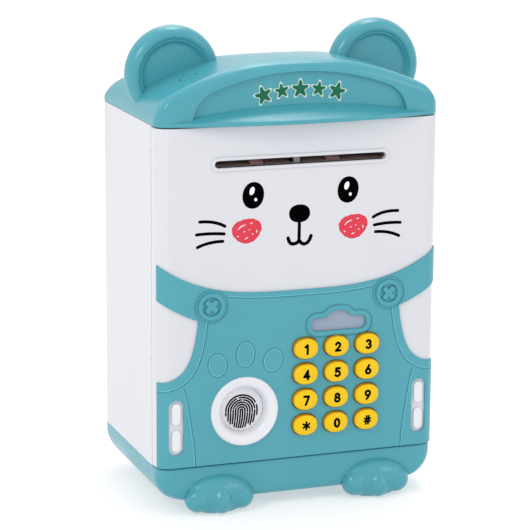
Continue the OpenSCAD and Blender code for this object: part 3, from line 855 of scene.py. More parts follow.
@dataclass
class DomedCap:
    """The domed cap with its arched recess, curved peak and coin slot."""

    top: float = 209.4
    crown_r: float = 139.0
    crest_r: float = 100.0
    crest_y: float = -20.8
    shoulder_r: float = 14.0
    fillet: float = 5.5
    blend: float = 1.8
    skin: float = 3.0
    wall: float = 2.6
    recess_half: float = 51.2
    recess_top: float = 203.3
    recess_r: float = 119.0
    recess_corner: float = 14.0
    recess_floor: float = -37.8
    flare: float = 0.9
    peak_half: float = 62.0
    peak_reach: float = 8.0
    peak_lip: float = 1.5
    peak_nose: float = 0.75
    crease_z: float = 182.6
    crease_rise: float = 6.6
    crease_half: float = 64.0
    gate: tuple[float, float, float] = (48.2, -22.0, 4.4)
    gate_w: float = 0.44
    coin_y: float = 22.0
    coin_w: float = 32.0
    coin_h: float = 4.6
    star_pitch: float = 8.9
    star_lean: float = 9.0
    star_sizes: tuple[float, float] = (4.1, 3.4)
    star_heights: tuple[float, ...] = (193.4, 195.0, 195.6, 195.2, 193.8)

    def crown(self, x: float) -> float:
        """Returns the height of the dome across the cap."""
        x = min(abs(x), PLAN.half)
        centre = self.top - self.crown_r
        corner = PLAN.half - self.shoulder_r
        reach = self.crown_r - self.shoulder_r
        corner_z = centre + math.sqrt(reach * reach - corner * corner)
        if x < self.crown_r * corner / reach:
            return centre + math.sqrt(self.crown_r**2 - x * x)
        return corner_z + math.sqrt(max(self.shoulder_r**2 - (x - corner) ** 2, 0.0))

    def crest(self, y: float) -> float:
        """Returns the height of the dome from front to back."""
        return self.top - self.crest_r + math.sqrt(self.crest_r**2 - (y - self.crest_y) ** 2)

    def surface(self, x: float, y: float, depth: float) -> float:
        """Returns the height of the finished surface.

        Args:
            x: Place across.
            y: Place from front to back.
            depth: Distance inside the plan outline.

        Returns:
            The height, rounded towards the outline.
        """
        a, b = self.crown(x), self.crest(y)
        share = min(max(0.5 + (b - a) / (2 * self.blend), 0.0), 1.0)
        height = b + (a - b) * share - self.blend * share * (1 - share)
        height = max(height, PLAN.cap_z + 1.0)
        r = min(self.fillet, 0.3 * (height - PLAN.cap_z))
        if depth < r:
            height -= r - math.sqrt(max(r * r - (r - depth) ** 2, 0.0))
        return height

    def shell(self) -> bpy.types.Object:
        """Lofts the outer and the inner skin as one closed solid."""
        half_depth = (PLAN.back - PLAN.front) / 2
        turn, dome_steps = 9, 18
        depths = [self.fillet * (1 - math.cos(math.radians(a))) for a in range(0, 91, turn)]
        run = half_depth - self.fillet
        depths += [self.fillet + run * (k / dome_steps) for k in range(1, dome_steps + 1)]

        def flat(depth: float) -> Outline:
            """Returns the plan outline drawn in by a depth."""
            share = max(1 - depth / half_depth, 0.0)
            return PLAN.ring(depth, depth, depth, PLAN.front_r * share, PLAN.rear_r * share)

        def ceiling(x: float, y: float, depth: float) -> float:
            """Returns the height of the inner skin."""
            return max(self.surface(x, y, depth) - self.skin, PLAN.cap_z + 0.25)

        rings = []
        for depth in reversed(depths):
            start = self.wall + depth * (half_depth - self.wall) / half_depth
            rings.append([Vector((x, y, ceiling(x, y, start))) for x, y in flat(start)])
        rings.append([Vector((x, y, PLAN.cap_z)) for x, y in flat(self.wall)])
        rings.append([Vector((x, y, PLAN.cap_z)) for x, y in flat(0.3)])
        rings.append([Vector((x, y, PLAN.cap_z + 0.3)) for x, y in flat(0.0)])
        for depth in depths:
            rings.append([Vector((x, y, self.surface(x, y, depth))) for x, y in flat(depth)])
        return loft("cap_shell", rings, close=False)

    def arch(self, grow: float) -> Outline:
        """Returns the arched outline of the recess, grown by a distance, anticlockwise."""
        radius, r = self.recess_r + grow, self.recess_corner + grow
        centre = self.recess_top - self.recess_r
        corner = self.recess_half - self.recess_corner
        reach = self.recess_r - self.recess_corner
        tilt = math.degrees(math.asin(corner / reach))
        corner_z = centre + reach * math.cos(math.radians(tilt))
        floor = PLAN.cap_z + 0.6
        low = math.degrees(math.asin(max(floor + 0.1 - corner_z, 0.0) / r))
        half = corner + r * math.cos(math.radians(low))
        right = arc(corner, corner_z, r, r, low, 90 - tilt, 12)
        top = arc(0, centre, radius, radius, 90 - tilt, 90 + tilt, 64)[1:-1]
        left = arc(-corner, corner_z, r, r, 90 + tilt, 180 - low, 12)
        return [(-half, floor), (half, floor)] + right + top + left

    def peak(self) -> bpy.types.Object:
        """Lofts the sloping peak over the door, which thins out towards both ends."""
        rings = []
        steps, slope_steps = 56, 8
        inner = self.recess_floor + 0.9
        nose = self.peak_nose
        for k in range(steps + 1):
            t = -1 + 2 * k / steps
            x = self.peak_half * t
            swell = 1 - t * t
            reach = PLAN.front - self.peak_reach * swell - 0.15
            crease = self.crease_z + self.crease_rise * (1 - abs(x / self.crease_half) ** 2.0)
            lip = self.peak_lip + 0.25 * swell
            low, high = PLAN.cap_z, PLAN.cap_z + lip
            line = [(inner, low), (reach + nose, low)]
            line += arc(reach + nose, low + nose, nose, nose, 270, 180, 5)[1:]
            line += arc(reach + nose, high - 0.2, nose, nose * 0.8, 180, 112, 5)
            ax, az = line[-1]
            for n in range(1, slope_steps + 1):
                s = n / slope_steps
                bulge = 0.55 * math.sin(math.pi * s) * swell
                line.append((ax + (inner - ax) * s, az + (crease - az) * s + bulge))
            rings.append([Vector((x, y, z)) for y, z in line])
        return loft("cap_peak", rings)

    def gate_mark(self, side: Side) -> bpy.types.Object:
        """Makes the cutter of a shallow ring beside an ear."""
        x, y, r = self.gate
        x *= side.value
        beyond, step, half = 2 * self.fillet, 0.5, self.gate_w / 2
        slope_x = (self.surface(x + step, y, beyond) - self.surface(x - step, y, beyond)) / (2 * step)
        slope_y = (self.surface(x, y + step, beyond) - self.surface(x, y - step, beyond)) / (2 * step)
        centre = Vector((x, y, self.surface(x, y, beyond)))
        turn = Vector((-slope_x, -slope_y, 1)).to_track_quat("Z", "X").to_matrix().to_4x4()
        profile = [(r - half, -0.4), (r + half, -0.4), (r + half, 1.2), (r - half, 1.2), (r - half, -0.4)]
        ring = revolve("gate_mark", profile, Vector((0, 0, 0)), Vector((0, 0, 1)), 48)
        ring.data.transform(Matrix.Translation(centre) @ turn)
        return ring

    def build(self, paints: Paints) -> None:
        """Makes the cap, its peak and the row of printed stars."""
        shell = self.shell()
        floor, mouth = self.recess_floor, PLAN.front - 1.0
        recess = loft("recess", [
            [Facing.FRONT.place(a, b, floor) for a, b in self.arch(0.0)],
            [Facing.FRONT.place(a, b, mouth) for a, b in self.arch(self.flare)],
        ])
        opening = stadium(0, self.coin_y, self.coin_w, self.coin_h)
        slot = plate("coin_slot", opening, Facing.TOP, PLAN.cap_z - 6, PLAN.cap_z + 34)
        cut(shell, [recess, slot, self.gate_mark(Side.LEFT), self.gate_mark(Side.RIGHT)])
        dress(shell, paints["teal_plastic"], "housing", ["top_cap"])
        dress(self.peak(), paints["teal_plastic"], "housing", weighted=False)
        pale, green = Shapes(), Shapes()
        for k, z in enumerate(self.star_heights):
            x = self.star_pitch * (k - 2)
            size = self.star_sizes[k % 2]
            tilt = 90 + self.star_lean * (2 - k)
            pale.add_outline(star(x, z, size + 0.75, tilt))
            green.add_outline(star(x, z, size - 0.15, tilt))
        prints = (("star_edges", pale, 0.04, "ink_pale"), ("stars", green, 0.07, "ink_green"))
        for name, shapes, proud, ink in prints:
            made = solid_shapes(name, shapes, floor - proud, floor + 0.2)
            dress(made, paints[ink], "housing", weighted=False)


def star(cx: float, cz: float, radius: float, tilt: float) -> Outline:
    """Returns a plump five-pointed star with rounded tips, anticlockwise."""
    outline = []
    steps = 60
    for k in range(steps):
        a = 2 * math.pi * k / steps
        r = radius * (0.74 + 0.26 * math.cos(5 * a) + 0.035 * math.cos(10 * a))
        outline.append((cx + r * math.cos(a + math.radians(tilt)), cz + r * math.sin(a + math.radians(tilt))))
    return outline


@dataclass
class Ear:
    """A round ear with a fat rim and a dished front."""

    side: Side
    x: float = 49.7
    y: float = -2.0
    z: float = 199.8
    radius: float = 22.4
    rim: float = 18.0
    floor: float = -3.4

    def build(self, paints: Paints) -> None:
        """Spins the ear's profile, and cuts it off where it is hidden in the cap."""
        rim, r = self.rim, self.radius
        profile = [(0.0, self.floor)] + [(13.2 * k / 4, self.floor) for k in range(1, 4)]
        profile += arc(13.4, self.floor - 1.7, 1.9, 1.7, 90, 25, 7)
        profile += [(15.8, -5.15)] + arc(rim, -3.9, 2.0, 2.1, 210, 270, 7)
        profile += arc(rim, 0.2, r - rim, 6.2, -90, 0, 14)[1:]
        profile += arc(rim - 1.0, 0.2, r - rim + 1.0, 5.8, 0, 90, 14)[1:]
        profile += [(14.5, 5.9), (12.5, 5.3), (10.5, 5.0), (5.0, 5.0), (0.0, 5.0)]
        centre = Vector((self.side.value * self.x, self.y, self.z))
        ear = revolve(f"{self.side.word}_ear_disc", profile, centre, Vector((0, 1, 0)), 128)
        bisect(ear, Vector((0, 0, PLAN.cap_z + 3.5)), Vector((0, 0, -1)), clear=True)
        dress(ear, paints["teal_plastic"], "housing", [f"{self.side.word}_ear"])


@dataclass
class BaseTray:
    """The rounded tray under the body, with its screws' holes and the speaker's grille."""

    underside: float = 5.2
    low_r: float = 13.5
    front_low_r: float = 4.0
    rear_low_r: float = 14.0
    wall: float = 2.4
    bay: tuple[float, float, float, float] = (-26.0, 26.0, -11.0, 35.0)
    floor_levels: tuple[float, ...] = (18.0, 14.0, 10.5)
    grille: tuple[float, float, float] = (-41.0, 8.0, 5.0)
    sound_hole: tuple[float, float] = (1.2, 7.4)
    screw_hole: tuple[float, float] = (3.0, 13.2)
    edge_steps: int = 16

    def level(self, z: float, r: float) -> float:
        """Returns how far a lower edge of radius r is drawn in at height z."""
        rise = z - self.underside
        if rise >= r:
            return 0.0
        return r - math.sqrt(max(r * r - (r - rise) ** 2, 0.0))

    def ring(self, z: float, extra: float = 0.0) -> Ring:
        """Returns the tray's outline at a height, drawn in by an extra distance."""
        side, front, rear = (self.level(z, r) for r in (self.low_r, self.front_low_r, self.rear_low_r))
        front_r = max(PLAN.front_r + 0.35 * (side + front) - extra, 1.0)
        rear_r = max(PLAN.rear_r + 0.35 * (side + rear) - extra, 1.0)
        plan = PLAN.ring(side + extra, front + extra, rear + extra, front_r, rear_r)
        return [Vector((x, y, z)) for x, y in plan]

    def build(self, paints: Paints) -> None:
        """Makes the tray and opens its underside for the battery cover, the screws and the sound."""
        span = PLAN.base_top - self.underside
        steps = self.edge_steps
        heights = [self.underside + span * (1 - math.cos(math.radians(90 * k / steps))) for k in range(steps)]
        rings = [self.ring(z) for z in heights]
        chamfer = 0.3
        rings.append(self.ring(PLAN.base_top - chamfer))
        for extra in (chamfer, self.wall):
            rings.append([v + Vector((0, 0, chamfer)) for v in self.ring(PLAN.base_top - chamfer, extra)])
        rings += [self.ring(z, self.wall) for z in self.floor_levels]
        tray = loft("base_shell", rings)
        x0, x1, y0, y1 = self.bay
        cutters = [plate("bay", rectangle(x0, x1, y0, y1), Facing.TOP, 0, 9.0)]
        cutters.append(plate("tab", rectangle(-5, 5, y1 + 0.01, y1 + 7), Facing.TOP, 0, 7.0))
        x, y, spread = self.grille
        angles = [k * math.pi / 3 for k in range(6)]
        spots = [(x + spread * math.cos(a), y + spread * math.sin(a), *self.sound_hole) for a in angles]
        spots += [(x, y, *self.sound_hole)] + [(*post, *self.screw_hole) for post in RearHousing().posts]
        cutters += [plate("spot", circle(x, y, r, 28), Facing.TOP, 0, top) for x, y, r, top in spots]
        cut(tray, cutters)
        dress(tray, paints["teal_plastic"], "housing", ["base_tray"])


@dataclass
class Paw:
    """A paw of three toes that runs up into the front of the tray."""

    side: Side
    x: float = 39.0
    reach: float = 9.0
    toe_gap: float = 10.4
    toe_r: float = 6.3
    toe_taper: float = 1.6
    toe_draw: float = 1.8
    toe_lean: float = 1.6
    outer_back: float = 2.8
    outer_rise: tuple[float, float] = (0.7, 2.8)
    middle_rise: float = 5.2
    middle_share: float = 0.84
    balls: int = 5
    instep_z: float = 8.4
    instep_radii: tuple[float, float, float] = (16.0, 7.2, 9.6)
    voxel: float = 0.5

    def lump(self, place: tuple[float, float, float], radii: tuple[float, float, float]) -> bpy.types.Object:
        """Returns an ellipsoid at a place, with its shape in the mesh."""
        bpy.ops.mesh.primitive_uv_sphere_add(segments=40, ring_count=24, radius=1.0, location=place)
        made = bpy.context.active_object
        made.scale = radii
        bpy.ops.object.transform_apply(location=True, rotation=False, scale=True)
        return made

    def build(self, paints: Paints) -> None:
        """Blends three toes and an instep, and cuts them flat against the tray."""
        x = self.side.value * self.x
        lumps = [self.lump((x, PLAN.front + 1.0, self.instep_z), self.instep_radii)]
        for toe in (-1, 0, 1):
            y = PLAN.front - self.reach + self.toe_r + (self.outer_back if toe else 0.0)
            for k in range(self.balls):
                t = k / (self.balls - 1)
                r = self.toe_r - self.toe_taper * t
                across = x + toe * (self.toe_gap - self.toe_draw * t)
                rise = self.outer_rise[0] + self.outer_rise[1] * t if toe else self.middle_rise * t
                place = (across, y + self.toe_lean * t, self.toe_r + rise)
                lumps.append(self.lump(place, (r * (1.0 if toe else self.middle_share), r, r)))
        paw = join(f"{self.side.word}_paw_form", lumps)
        modify(paw, "REMESH", mode="VOXEL", voxel_size=self.voxel)
        modify(paw, "SMOOTH", factor=0.5, iterations=6)
        bisect(paw, Vector((0, PLAN.front + 2.0, 0)), Vector((0, 1, 0)), clear=True)
        bisect(paw, Vector((0, 0, 0.02)), Vector((0, 0, -1)), clear=True)
        node = f"{self.side.word}_paw"
        dress(paw, paints["teal_plastic"], "housing", [node], weighted=False)


# ---------------------------------------------------------------- the door


@dataclass
class FrontDoor:
    """The white door with its banknote slot and the lozenges that show in the bib's pockets."""

    z0: float = 22.8
    z1: float = 180.5
    depth: float = 9.3
    wall: float = 2.4
    knuckle_r: float = 4.0
    slot_w: float = 83.0
    slot_h: float = 3.2
    slot_z: float = 163.3
    hollow: tuple[float, float, float, float] = (-65.3, 59.5, 25.0, 178.3)
    pill_x: float = 60.0
    pill_z: float = 42.3
    pill_w: float = 4.3
    pill_h: float = 10.4
    pill_rise: float = 6.4

    def outline(self) -> Outline:
        """Returns the door's plan outline: two rounded front edges and a round hinge edge."""
        p, r, k = PLAN, PLAN.front_r, self.knuckle_r
        rear = p.front + self.depth
        left = arc(-p.half + r, p.front + r, r, r, 180, 270, 14)
        right = arc(p.half - r, p.front + r, r, r, 270, 360, 14)[:-3]
        hinge = arc(p.half - k, rear - k, k, k, -8, 90, 12)
        edge = [(-p.half + 0.5, rear), (-p.half + 0.15, rear - 0.15), (-p.half, rear - 0.5)]
        return left + right + hinge + edge

    def build(self, paints: Paints) -> None:
        """Makes the door, hollows it from behind and opens it for slot, keys, dish and window."""
        door = plate("door_shell", self.outline(), Facing.TOP, self.z0, self.z1, 0.45, 0.45)
        front = PLAN.front
        hollow = plate("hollow", rectangle(*self.hollow), Facing.FRONT, front + self.wall, front + 20)
        cut(door, [hollow])
        outlines = [stadium(0, self.slot_z, self.slot_w, self.slot_h)]
        outlines += [KEYPAD.outline(x, z, grow=0.45) for x, z in KEYPAD.places()]
        outlines += [circle(DISH.x, DISH.z, 13, 64), CloudWindow().outline(1.2)]
        cut(door, [plate("opening", outline, Facing.FRONT, front - 3, front + 4) for outline in outlines])
        dress(door, paints["white_plastic"], "door", ["door_panel"])
        self.build_lip(paints)
        for side in Side:
            for k, rise in enumerate((-self.pill_rise, self.pill_rise)):
                outline = stadium(side.value * self.pill_x, self.pill_z + rise, self.pill_w, self.pill_h)
                name = f"pocket_pill_{side.word}_{k}"
                pill = plate(name, outline, Facing.FRONT, front - 1.2, front + 0.5, 0.6)
                wrap_round_corner(pill)
                dress(pill, paints["dish_white"], "door", weighted=False)

    def build_lip(self, paints: Paints) -> None:
        """Makes the rounded lip round the banknote slot."""
        front = PLAN.front
        line = [(1.75, 0.4), (1.7, -0.35), (1.45, -0.72), (1.1, -0.85)]
        line += [(0.55, -0.85), (0.2, -0.7), (0.0, -0.35), (0.0, 2.4)]
        slot = stadium(0, self.slot_z, self.slot_w, self.slot_h, 16)
        rings = []
        for out, depth in line:
            rings.append([Facing.FRONT.place(a, b, front + depth) for a, b in inset(slot, -out)])
        lip = loft("slot_lip", rings + [rings[0]], close=False)
        dress(lip, paints["white_plastic"], "door", weighted=False)


def unroll_x(u: float) -> float:
    """Returns how far from the middle a point at u along the door's face lies, seen from the front."""
    flat, r = PLAN.half - PLAN.front_r, PLAN.front_r
    if abs(u) <= flat:
        return u
    return math.copysign(flat + r * math.sin(min((abs(u) - flat) / r, math.pi / 2)), u)


def wrap_round_corner(obj: bpy.types.Object, thin: float = 0.0) -> None:
    """Bends a flat piece round the door's upright front edges.

    Args:
        obj: Piece drawn flat in front of the door, in millimetres.
        thin: Share of the height above the door that is lost by the end of the bend.
    """
    flat, r = PLAN.half - PLAN.front_r, PLAN.front_r
    steps, bend, fade = 9, 9.0, math.radians(65)
    for side in Side:
        for k in range(steps):
            bisect(obj, Vector((side.value * (flat + 0.02 + bend * k / steps), 0, 0)), Vector((1, 0, 0)))
    for vert in obj.data.vertices:
        u, y, z = vert.co
        if abs(u) <= flat:
            continue
        angle = (abs(u) - flat) / r
        proud = PLAN.front - y
        proud *= 1 - thin * min(angle / fade, 1.0) if proud > 0 else 1.0
        reach = r + proud
        across = math.copysign(flat + reach * math.sin(angle), u)
        vert.co = (across, PLAN.front + r - reach * math.cos(angle), z)


@dataclass
class CloudWindow:
    """The lavender window over the keypad: a bar with a hump, in a raised frame."""

    x: float = 19.0
    z: float = 82.4
    width: float = 27.2
    height: float = 6.3
    corner: float = 2.6
    hump: float = 5.6
    rise: float = 2.9

    def outline(self, grow: float = 0.0) -> Outline:
        """Returns the cloud's outline grown by a distance, anticlockwise."""
        w, r = self.width / 2, self.corner
        x0, x1, z0, z1 = self.x - w, self.x + w, self.z, self.z + self.height
        line = arc(x1 - r, z0 + r, r, r, -90, 0, 8) + arc(x1 - r, z1 - r, r, r, 0, 90, 8)
        flank = 1.7
        hump = self.hump
        steps = 14
        line += [(self.x + hump + flank, z1 + 0.05)]
        for k in range(steps + 1):
            t = -1 + 2 * k / steps
            x = self.x - t * (hump + 0.4)
            line.append((x, z1 + self.rise * (1 - abs(t) ** 2.6) ** 0.75 + 0.25))
        line += [(self.x - hump - flank, z1 + 0.05)]
        line += arc(x0 + r, z1 - r, r, r, 90, 180, 8) + arc(x0 + r, z0 + r, r, r, 180, 270, 8)
        return inset(line, -grow) if grow else line


@dataclass
class Bib:
    """The coloured dungarees over the lower door: straps, hem, pockets and two buttons."""

    proud: float = 1.2
    edge_z: float = 102.9
    rise: float = 16.0
    strap: float = 16.5
    end_angle: float = 63.0
    inner: float = 49.3
    button_x: float = 43.5
    button_z: float = 98.4
    button_r: float = 6.4
    ring_r: float = 7.8
    stitch: tuple[float, float] = (7.6, 2.5)
    pocket: tuple[float, float] = (7.0, 26.2)
    groove: float = 0.32
    toe_groove: float = 0.3
    groove_w: float = 0.6
    # Thin raised strips beside the grooves, coloured with a painted highlight.
    bead_w: float = 0.42
    bead_h: float = 0.14
    bead_gap: float = 0.52
    hem_offset: float = 4.3
    border_half: float = 36.5
    border_drop: float = 2.6
    window_gap: float = 2.8
    window_groove_w: float = 0.5
    corner_thin: float = 0.45
    cutout_corner: Point2 = (52.4, 63.8)
    cutout_end: Point2 = (70.0, 63.6)
    seam: tuple[Point2, ...] = (
        (56.6, 60.6),
        (55.2, 56.0),
        (54.2, 50.5),
        (53.0, 43.0),
        (52.0, 36.0),
        (51.2, 29.0),
        (51.0, 23.4),
    )
    toes: tuple[tuple[float, ...], ...] = (
        (-40.4, 70.4, 4.6, 5.6, 10),
        (-26.9, 74.5, 4.5, 6.1, 0),
        (-13.4, 70.7, 4.7, 5.7, -16),
    )

    def top(self, x: float) -> float:
        """Returns the height of the bib's upper edge."""
        return self.edge_z + self.rise * (abs(x) / PLAN.half) ** 3.3

    def cutout(self, t: float) -> Point2:
        """Returns a point on the edge of the opening under a strap."""
        start = (self.inner, self.top(self.inner) - self.strap)
        corner, end = self.cutout_corner, self.cutout_end
        first = [a + (c - a) * 0.8 for a, c in zip(start, corner)]
        last = [e + (c - e) * 0.76 for e, c in zip(end, corner)]
        s = 1 - t
        rows = zip(start, first, last, end)
        return tuple(s**3 * a + 3 * s * s * t * b + 3 * s * t * t * c + t**3 * d for a, b, c, d in rows)

    def outline(self) -> Outline:
        """Returns the bib's outline, unrolled along the door's face, anticlockwise."""
        end = PLAN.half - PLAN.front_r + PLAN.front_r * math.radians(self.end_angle)
        z0 = FrontDoor.z0 + 0.15
        side = [(end, z0), (end, 63.62)]
        side += [self.cutout(t / 24) for t in range(22, -1, -1)]
        below_strap = (51.5, 54, 56.5, 59, 61, 62.5, 64, 65.5, 67, end)
        side += [(u, self.top(unroll_x(u)) - self.strap) for u in below_strap]
        steps, reach = 90, end - 0.01
        across = [end] + [reach - 2 * reach * k / steps for k in range(1, steps)] + [-end]
        mirrored = [(-u, z) for u, z in reversed(side)]
        return side + [(u, self.top(unroll_x(u))) for u in across] + mirrored

    def grooves(self) -> list[bpy.types.Object]:
        """Makes the cutters of the engraved border, rings, pocket seams and toe prints."""
        lines = Shapes()
        w, face, ahead = self.groove_w, PLAN.front - self.proud, PLAN.front - 3
        for side in Side:
            lines.add_stroke(self.hem(side, self.hem_offset), w)
            ring = circle(side.value * self.button_x, self.button_z, self.ring_r, 72)
            lines.add_stroke(ring, w, closed=True)
            lines.add_stroke([(side.value * x, z) for x, z in self.seam], w)
        lines.add_stroke(self.border(self.border_half), w)
        lines.add_stroke(CloudWindow().outline(self.window_gap), self.window_groove_w, closed=True)
        cutters = [solid_shapes("groove", lines, face + self.groove, ahead)]
        for x, z, rx, rz, tilt in self.toes:
            toe = Shapes()
            toe.add_stroke(ellipse(x, z, rx, rz, tilt, 56), w, closed=True)
            cutters.append(solid_shapes("toe", toe, face + self.toe_groove, ahead))
        return cutters

    def border(self, half: float, lift: float = 0.0) -> Outline:
        """Returns a line below the bib's upper edge, as far to the left as to the right."""
        steps = 40
        across = [-half + 2 * half * k / steps for k in range(steps + 1)]
        return [(x, self.top(x) - self.border_drop + lift) for x in across]

    def hem(self, side: Side, offset: float) -> Outline:
        """Returns a line beside the opening under a strap, at an offset from its edge."""
        line = []
        steps = 25
        for k in range(steps):
            (ax, az), (bx, bz) = self.cutout(k / steps), self.cutout(k / steps + 0.01)
            along = Vector((bx - ax, bz - az)).normalized()
            line.append((side.value * (ax + along.y * offset), az - along.x * offset))
        return line

    def beads(self) -> bpy.types.Object:
        """Returns thin raised strips beside the engraved lines, in a lighter teal that paints the highlight
        on the grooves' edges.
        """
        lines = Shapes()
        w, gap = self.bead_w, self.bead_gap
        for side in Side:
            lines.add_stroke(self.hem(side, self.hem_offset - gap), w)
            lines.add_stroke([(side.value * (x + gap), z) for x, z in self.seam], w)
        lines.add_stroke(self.border(self.border_half - 1, gap), w)
        for x, z, rx, rz, tilt in self.toes:
            lines.add_stroke(ellipse(x, z, rx - gap, rz - gap, tilt, 56), w, closed=True)
        face = PLAN.front - self.proud
        return solid_shapes("bib_beads", lines, face - self.bead_h, face + 0.1)

    def build(self, paints: Paints) -> None:
        """Makes the panel, its frame and its buttons."""
        front = PLAN.front
        bib = plate("bib_sheet", self.outline(), Facing.FRONT, front - self.proud, front + 0.15, 0.45)
        outlines = [KEYPAD.outline(x, z, grow=0.35) for x, z in KEYPAD.places()]
        outlines += [circle(DISH.x, DISH.z, 13.4, 72), CloudWindow().outline(0.0)]
        for side in Side:
            outlines.append(stadium(side.value * FrontDoor.pill_x, FrontDoor.pill_z, *self.pocket, 14))
        cut(bib, [plate("opening", outline, Facing.FRONT, front - 4, front + 2) for outline in outlines])
        cut(bib, self.grooves(), overlapping=True)
        wrap_round_corner(bib, self.corner_thin)
        dress(bib, paints["teal_plastic"], "door", ["bib_panel"])
        # The strips beside the grooves carry a painted highlight in a lighter teal.
        beads = self.beads()
        wrap_round_corner(beads, self.corner_thin)
        dress(beads, paints["teal_bright"], "door", weighted=False)
        self.build_frame(paints)
        for side in Side:
            self.build_button(side, paints)

    def build_frame(self, paints: Paints) -> None:
        """Makes the raised frame round the window."""
        face = PLAN.front - self.proud
        line = [(2.35, 0.3), (2.3, -0.2), (2.1, -0.45), (1.8, -0.56)]
        line += [(0.65, -0.56), (0.3, -0.45), (0.05, -0.2), (0.0, 1.1)]
        rings = []
        for out, depth in line:
            rings.append([Facing.FRONT.place(a, b, face + depth) for a, b in CloudWindow().outline(out)])
        frame = loft("window_frame", rings + [rings[0]], close=False)
        dress(frame, paints["teal_plastic"], "door", weighted=False)

    def build_button(self, side: Side, paints: Paints) -> None:
        """Makes one sewn-looking button with its crossed stitch."""
        face = PLAN.front - self.proud
        x, z, r = side.value * self.button_x, self.button_z, self.button_r
        profile = [(0.0, -0.05), (4.1, -0.05), (4.25, -0.15), (4.35, -0.6), (4.5, -1.15), (4.85, -1.4)]
        profile += [(5.9, -1.4)] + arc(5.9, -0.7, r - 5.9, 0.7, -90, 0, 5)[1:] + [(r, 0.4), (0.0, 0.4)]
        button = revolve("button", profile, Vector((x, face, z)), Vector((0, 1, 0)), 80)
        bars = []
        for turn, top in ((45, -1.2), (-45, -1.14)):
            bar = plate("stitch", stadium(0, 0, *self.stitch), Facing.FRONT, top, 0.3, 0.35)
            bar.data.transform(Matrix.Translation((x, face, z)) @ Matrix.Rotation(math.radians(turn), 4, "Y"))
            bars.append(bar)
        made = join(f"bib_button_{side.word}", [button, *bars])
        dress(made, paints["teal_plastic"], "door")


@dataclass
class Keypad:
    """Twelve domed keys with printed digits."""

    x: float = 17.6
    z: float = 75.2
    pitch_x: float = 15.3
    pitch_z: float = 12.25
    width: float = 12.0
    height: float = 10.0
    face: float = -44.2
    dome_r: float = 20.0
    dome_share: float = 0.75
    flange: float = 1.14
    edge_r: float = 1.1
    roundness: float = 2.25
    # Faces steeper than this take the darker amber copy, which paints shade on the keys' sides.
    side_tilt: float = 0.6
    print_w: float = 1.14
    sign_w: float = 0.92
    names: tuple[str, ...] = ("1", "2", "3", "4", "5", "6", "7", "8", "9", "star", "0", "hash")

    def places(self) -> list[Point2]:
        """Returns the middles of the keys in the order of their names."""
        return [(self.x + (k % 3 - 1) * self.pitch_x, self.z - k // 3 * self.pitch_z) for k in range(12)]

    def outline(self, x: float, z: float, grow: float = 0.0) -> Outline:
        """Returns a key's oval outline."""
        return ellipse(x, z, self.width / 2 + grow, self.height / 2 + grow, steps=56, power=self.roundness)

    def dome(self, dx: float, dz: float) -> float:
        """Returns how far the domed face falls back at a distance from its middle."""
        return self.dome_r - math.sqrt(self.dome_r**2 - dx * dx - dz * dz)

    def build(self, paints: Paints) -> None:
        """Makes every key as its own piece, with its print on it."""
        for name, (x, z) in zip(self.names, self.places()):
            body = f"key_{name}"
            key = self.build_cap(f"{body}_cap", x, z)
            dress(key, paints["key_yellow"], body, [body], weighted=False)
            # The steep side faces get the darker amber copy of the yellow: painted shade on the keys' side
            # walls.
            key.data.materials.append(paints["key_amber"])
            for face in key.data.polygons:
                face.material_index = int(abs(face.normal.y) < self.side_tilt)
            self.build_print(name, x, z, paints)

    def build_print(self, name: str, x: float, z: float, paints: Paints) -> None:
        """Makes the digit or sign of one key, which follows its domed face."""
        strokes = Shapes()
        pen = self.sign_w if name in ("star", "hash") else self.print_w
        for line, closed in digit_lines(name):
            strokes.add_stroke([(x + a, z + b) for a, b in line], pen, closed)

        def fall(px: float, pz: float) -> float:
            """Returns how far the key's face falls back at a point."""
            return self.dome(px - x, pz - z)

        ink = solid_shapes(f"key_{name}_print", strokes, self.face - 0.05, self.face + 0.3, fall)
        dress(ink, paints["ink_black"], f"key_{name}", weighted=False)

    def build_cap(self, name: str, x: float, z: float) -> bpy.types.Object:
        """Lofts one key from its flange to the middle of its domed face."""
        oval = ellipse(0, 0, 1, 1, steps=56, power=self.roundness)
        half_w, half_h, r = self.width / 2, self.height / 2, self.edge_r
        front = PLAN.front
        levels = [(self.flange, front + 3.5), (self.flange, front + 2.45)]
        levels += [(1.0, front + 2.4), (1.0, front - 2)]
        steps = 6
        for k in range(steps + 1):
            a = math.radians(90 * k / steps)
            share = 1 - r * (1 - math.cos(a)) / half_h
            rim = self.dome(half_w * share, 0) * self.dome_share
            levels.append((share, self.face + rim + r * (1 - math.sin(a))))
        inner, rim_depth = levels[-1]
        drop = rim_depth - self.face - self.dome(half_w * inner, 0) * self.dome_share
        for k in range(1, steps + 1):
            share = inner * (1 - k / steps)
            levels.append((share, self.face + self.dome(half_w * share, 0) * self.dome_share + drop))
        rings = []
        for share, depth in levels:
            rings.append([Vector((x + a * half_w * share, depth, z + b * half_h * share)) for a, b in oval])
        return loft(name, rings)


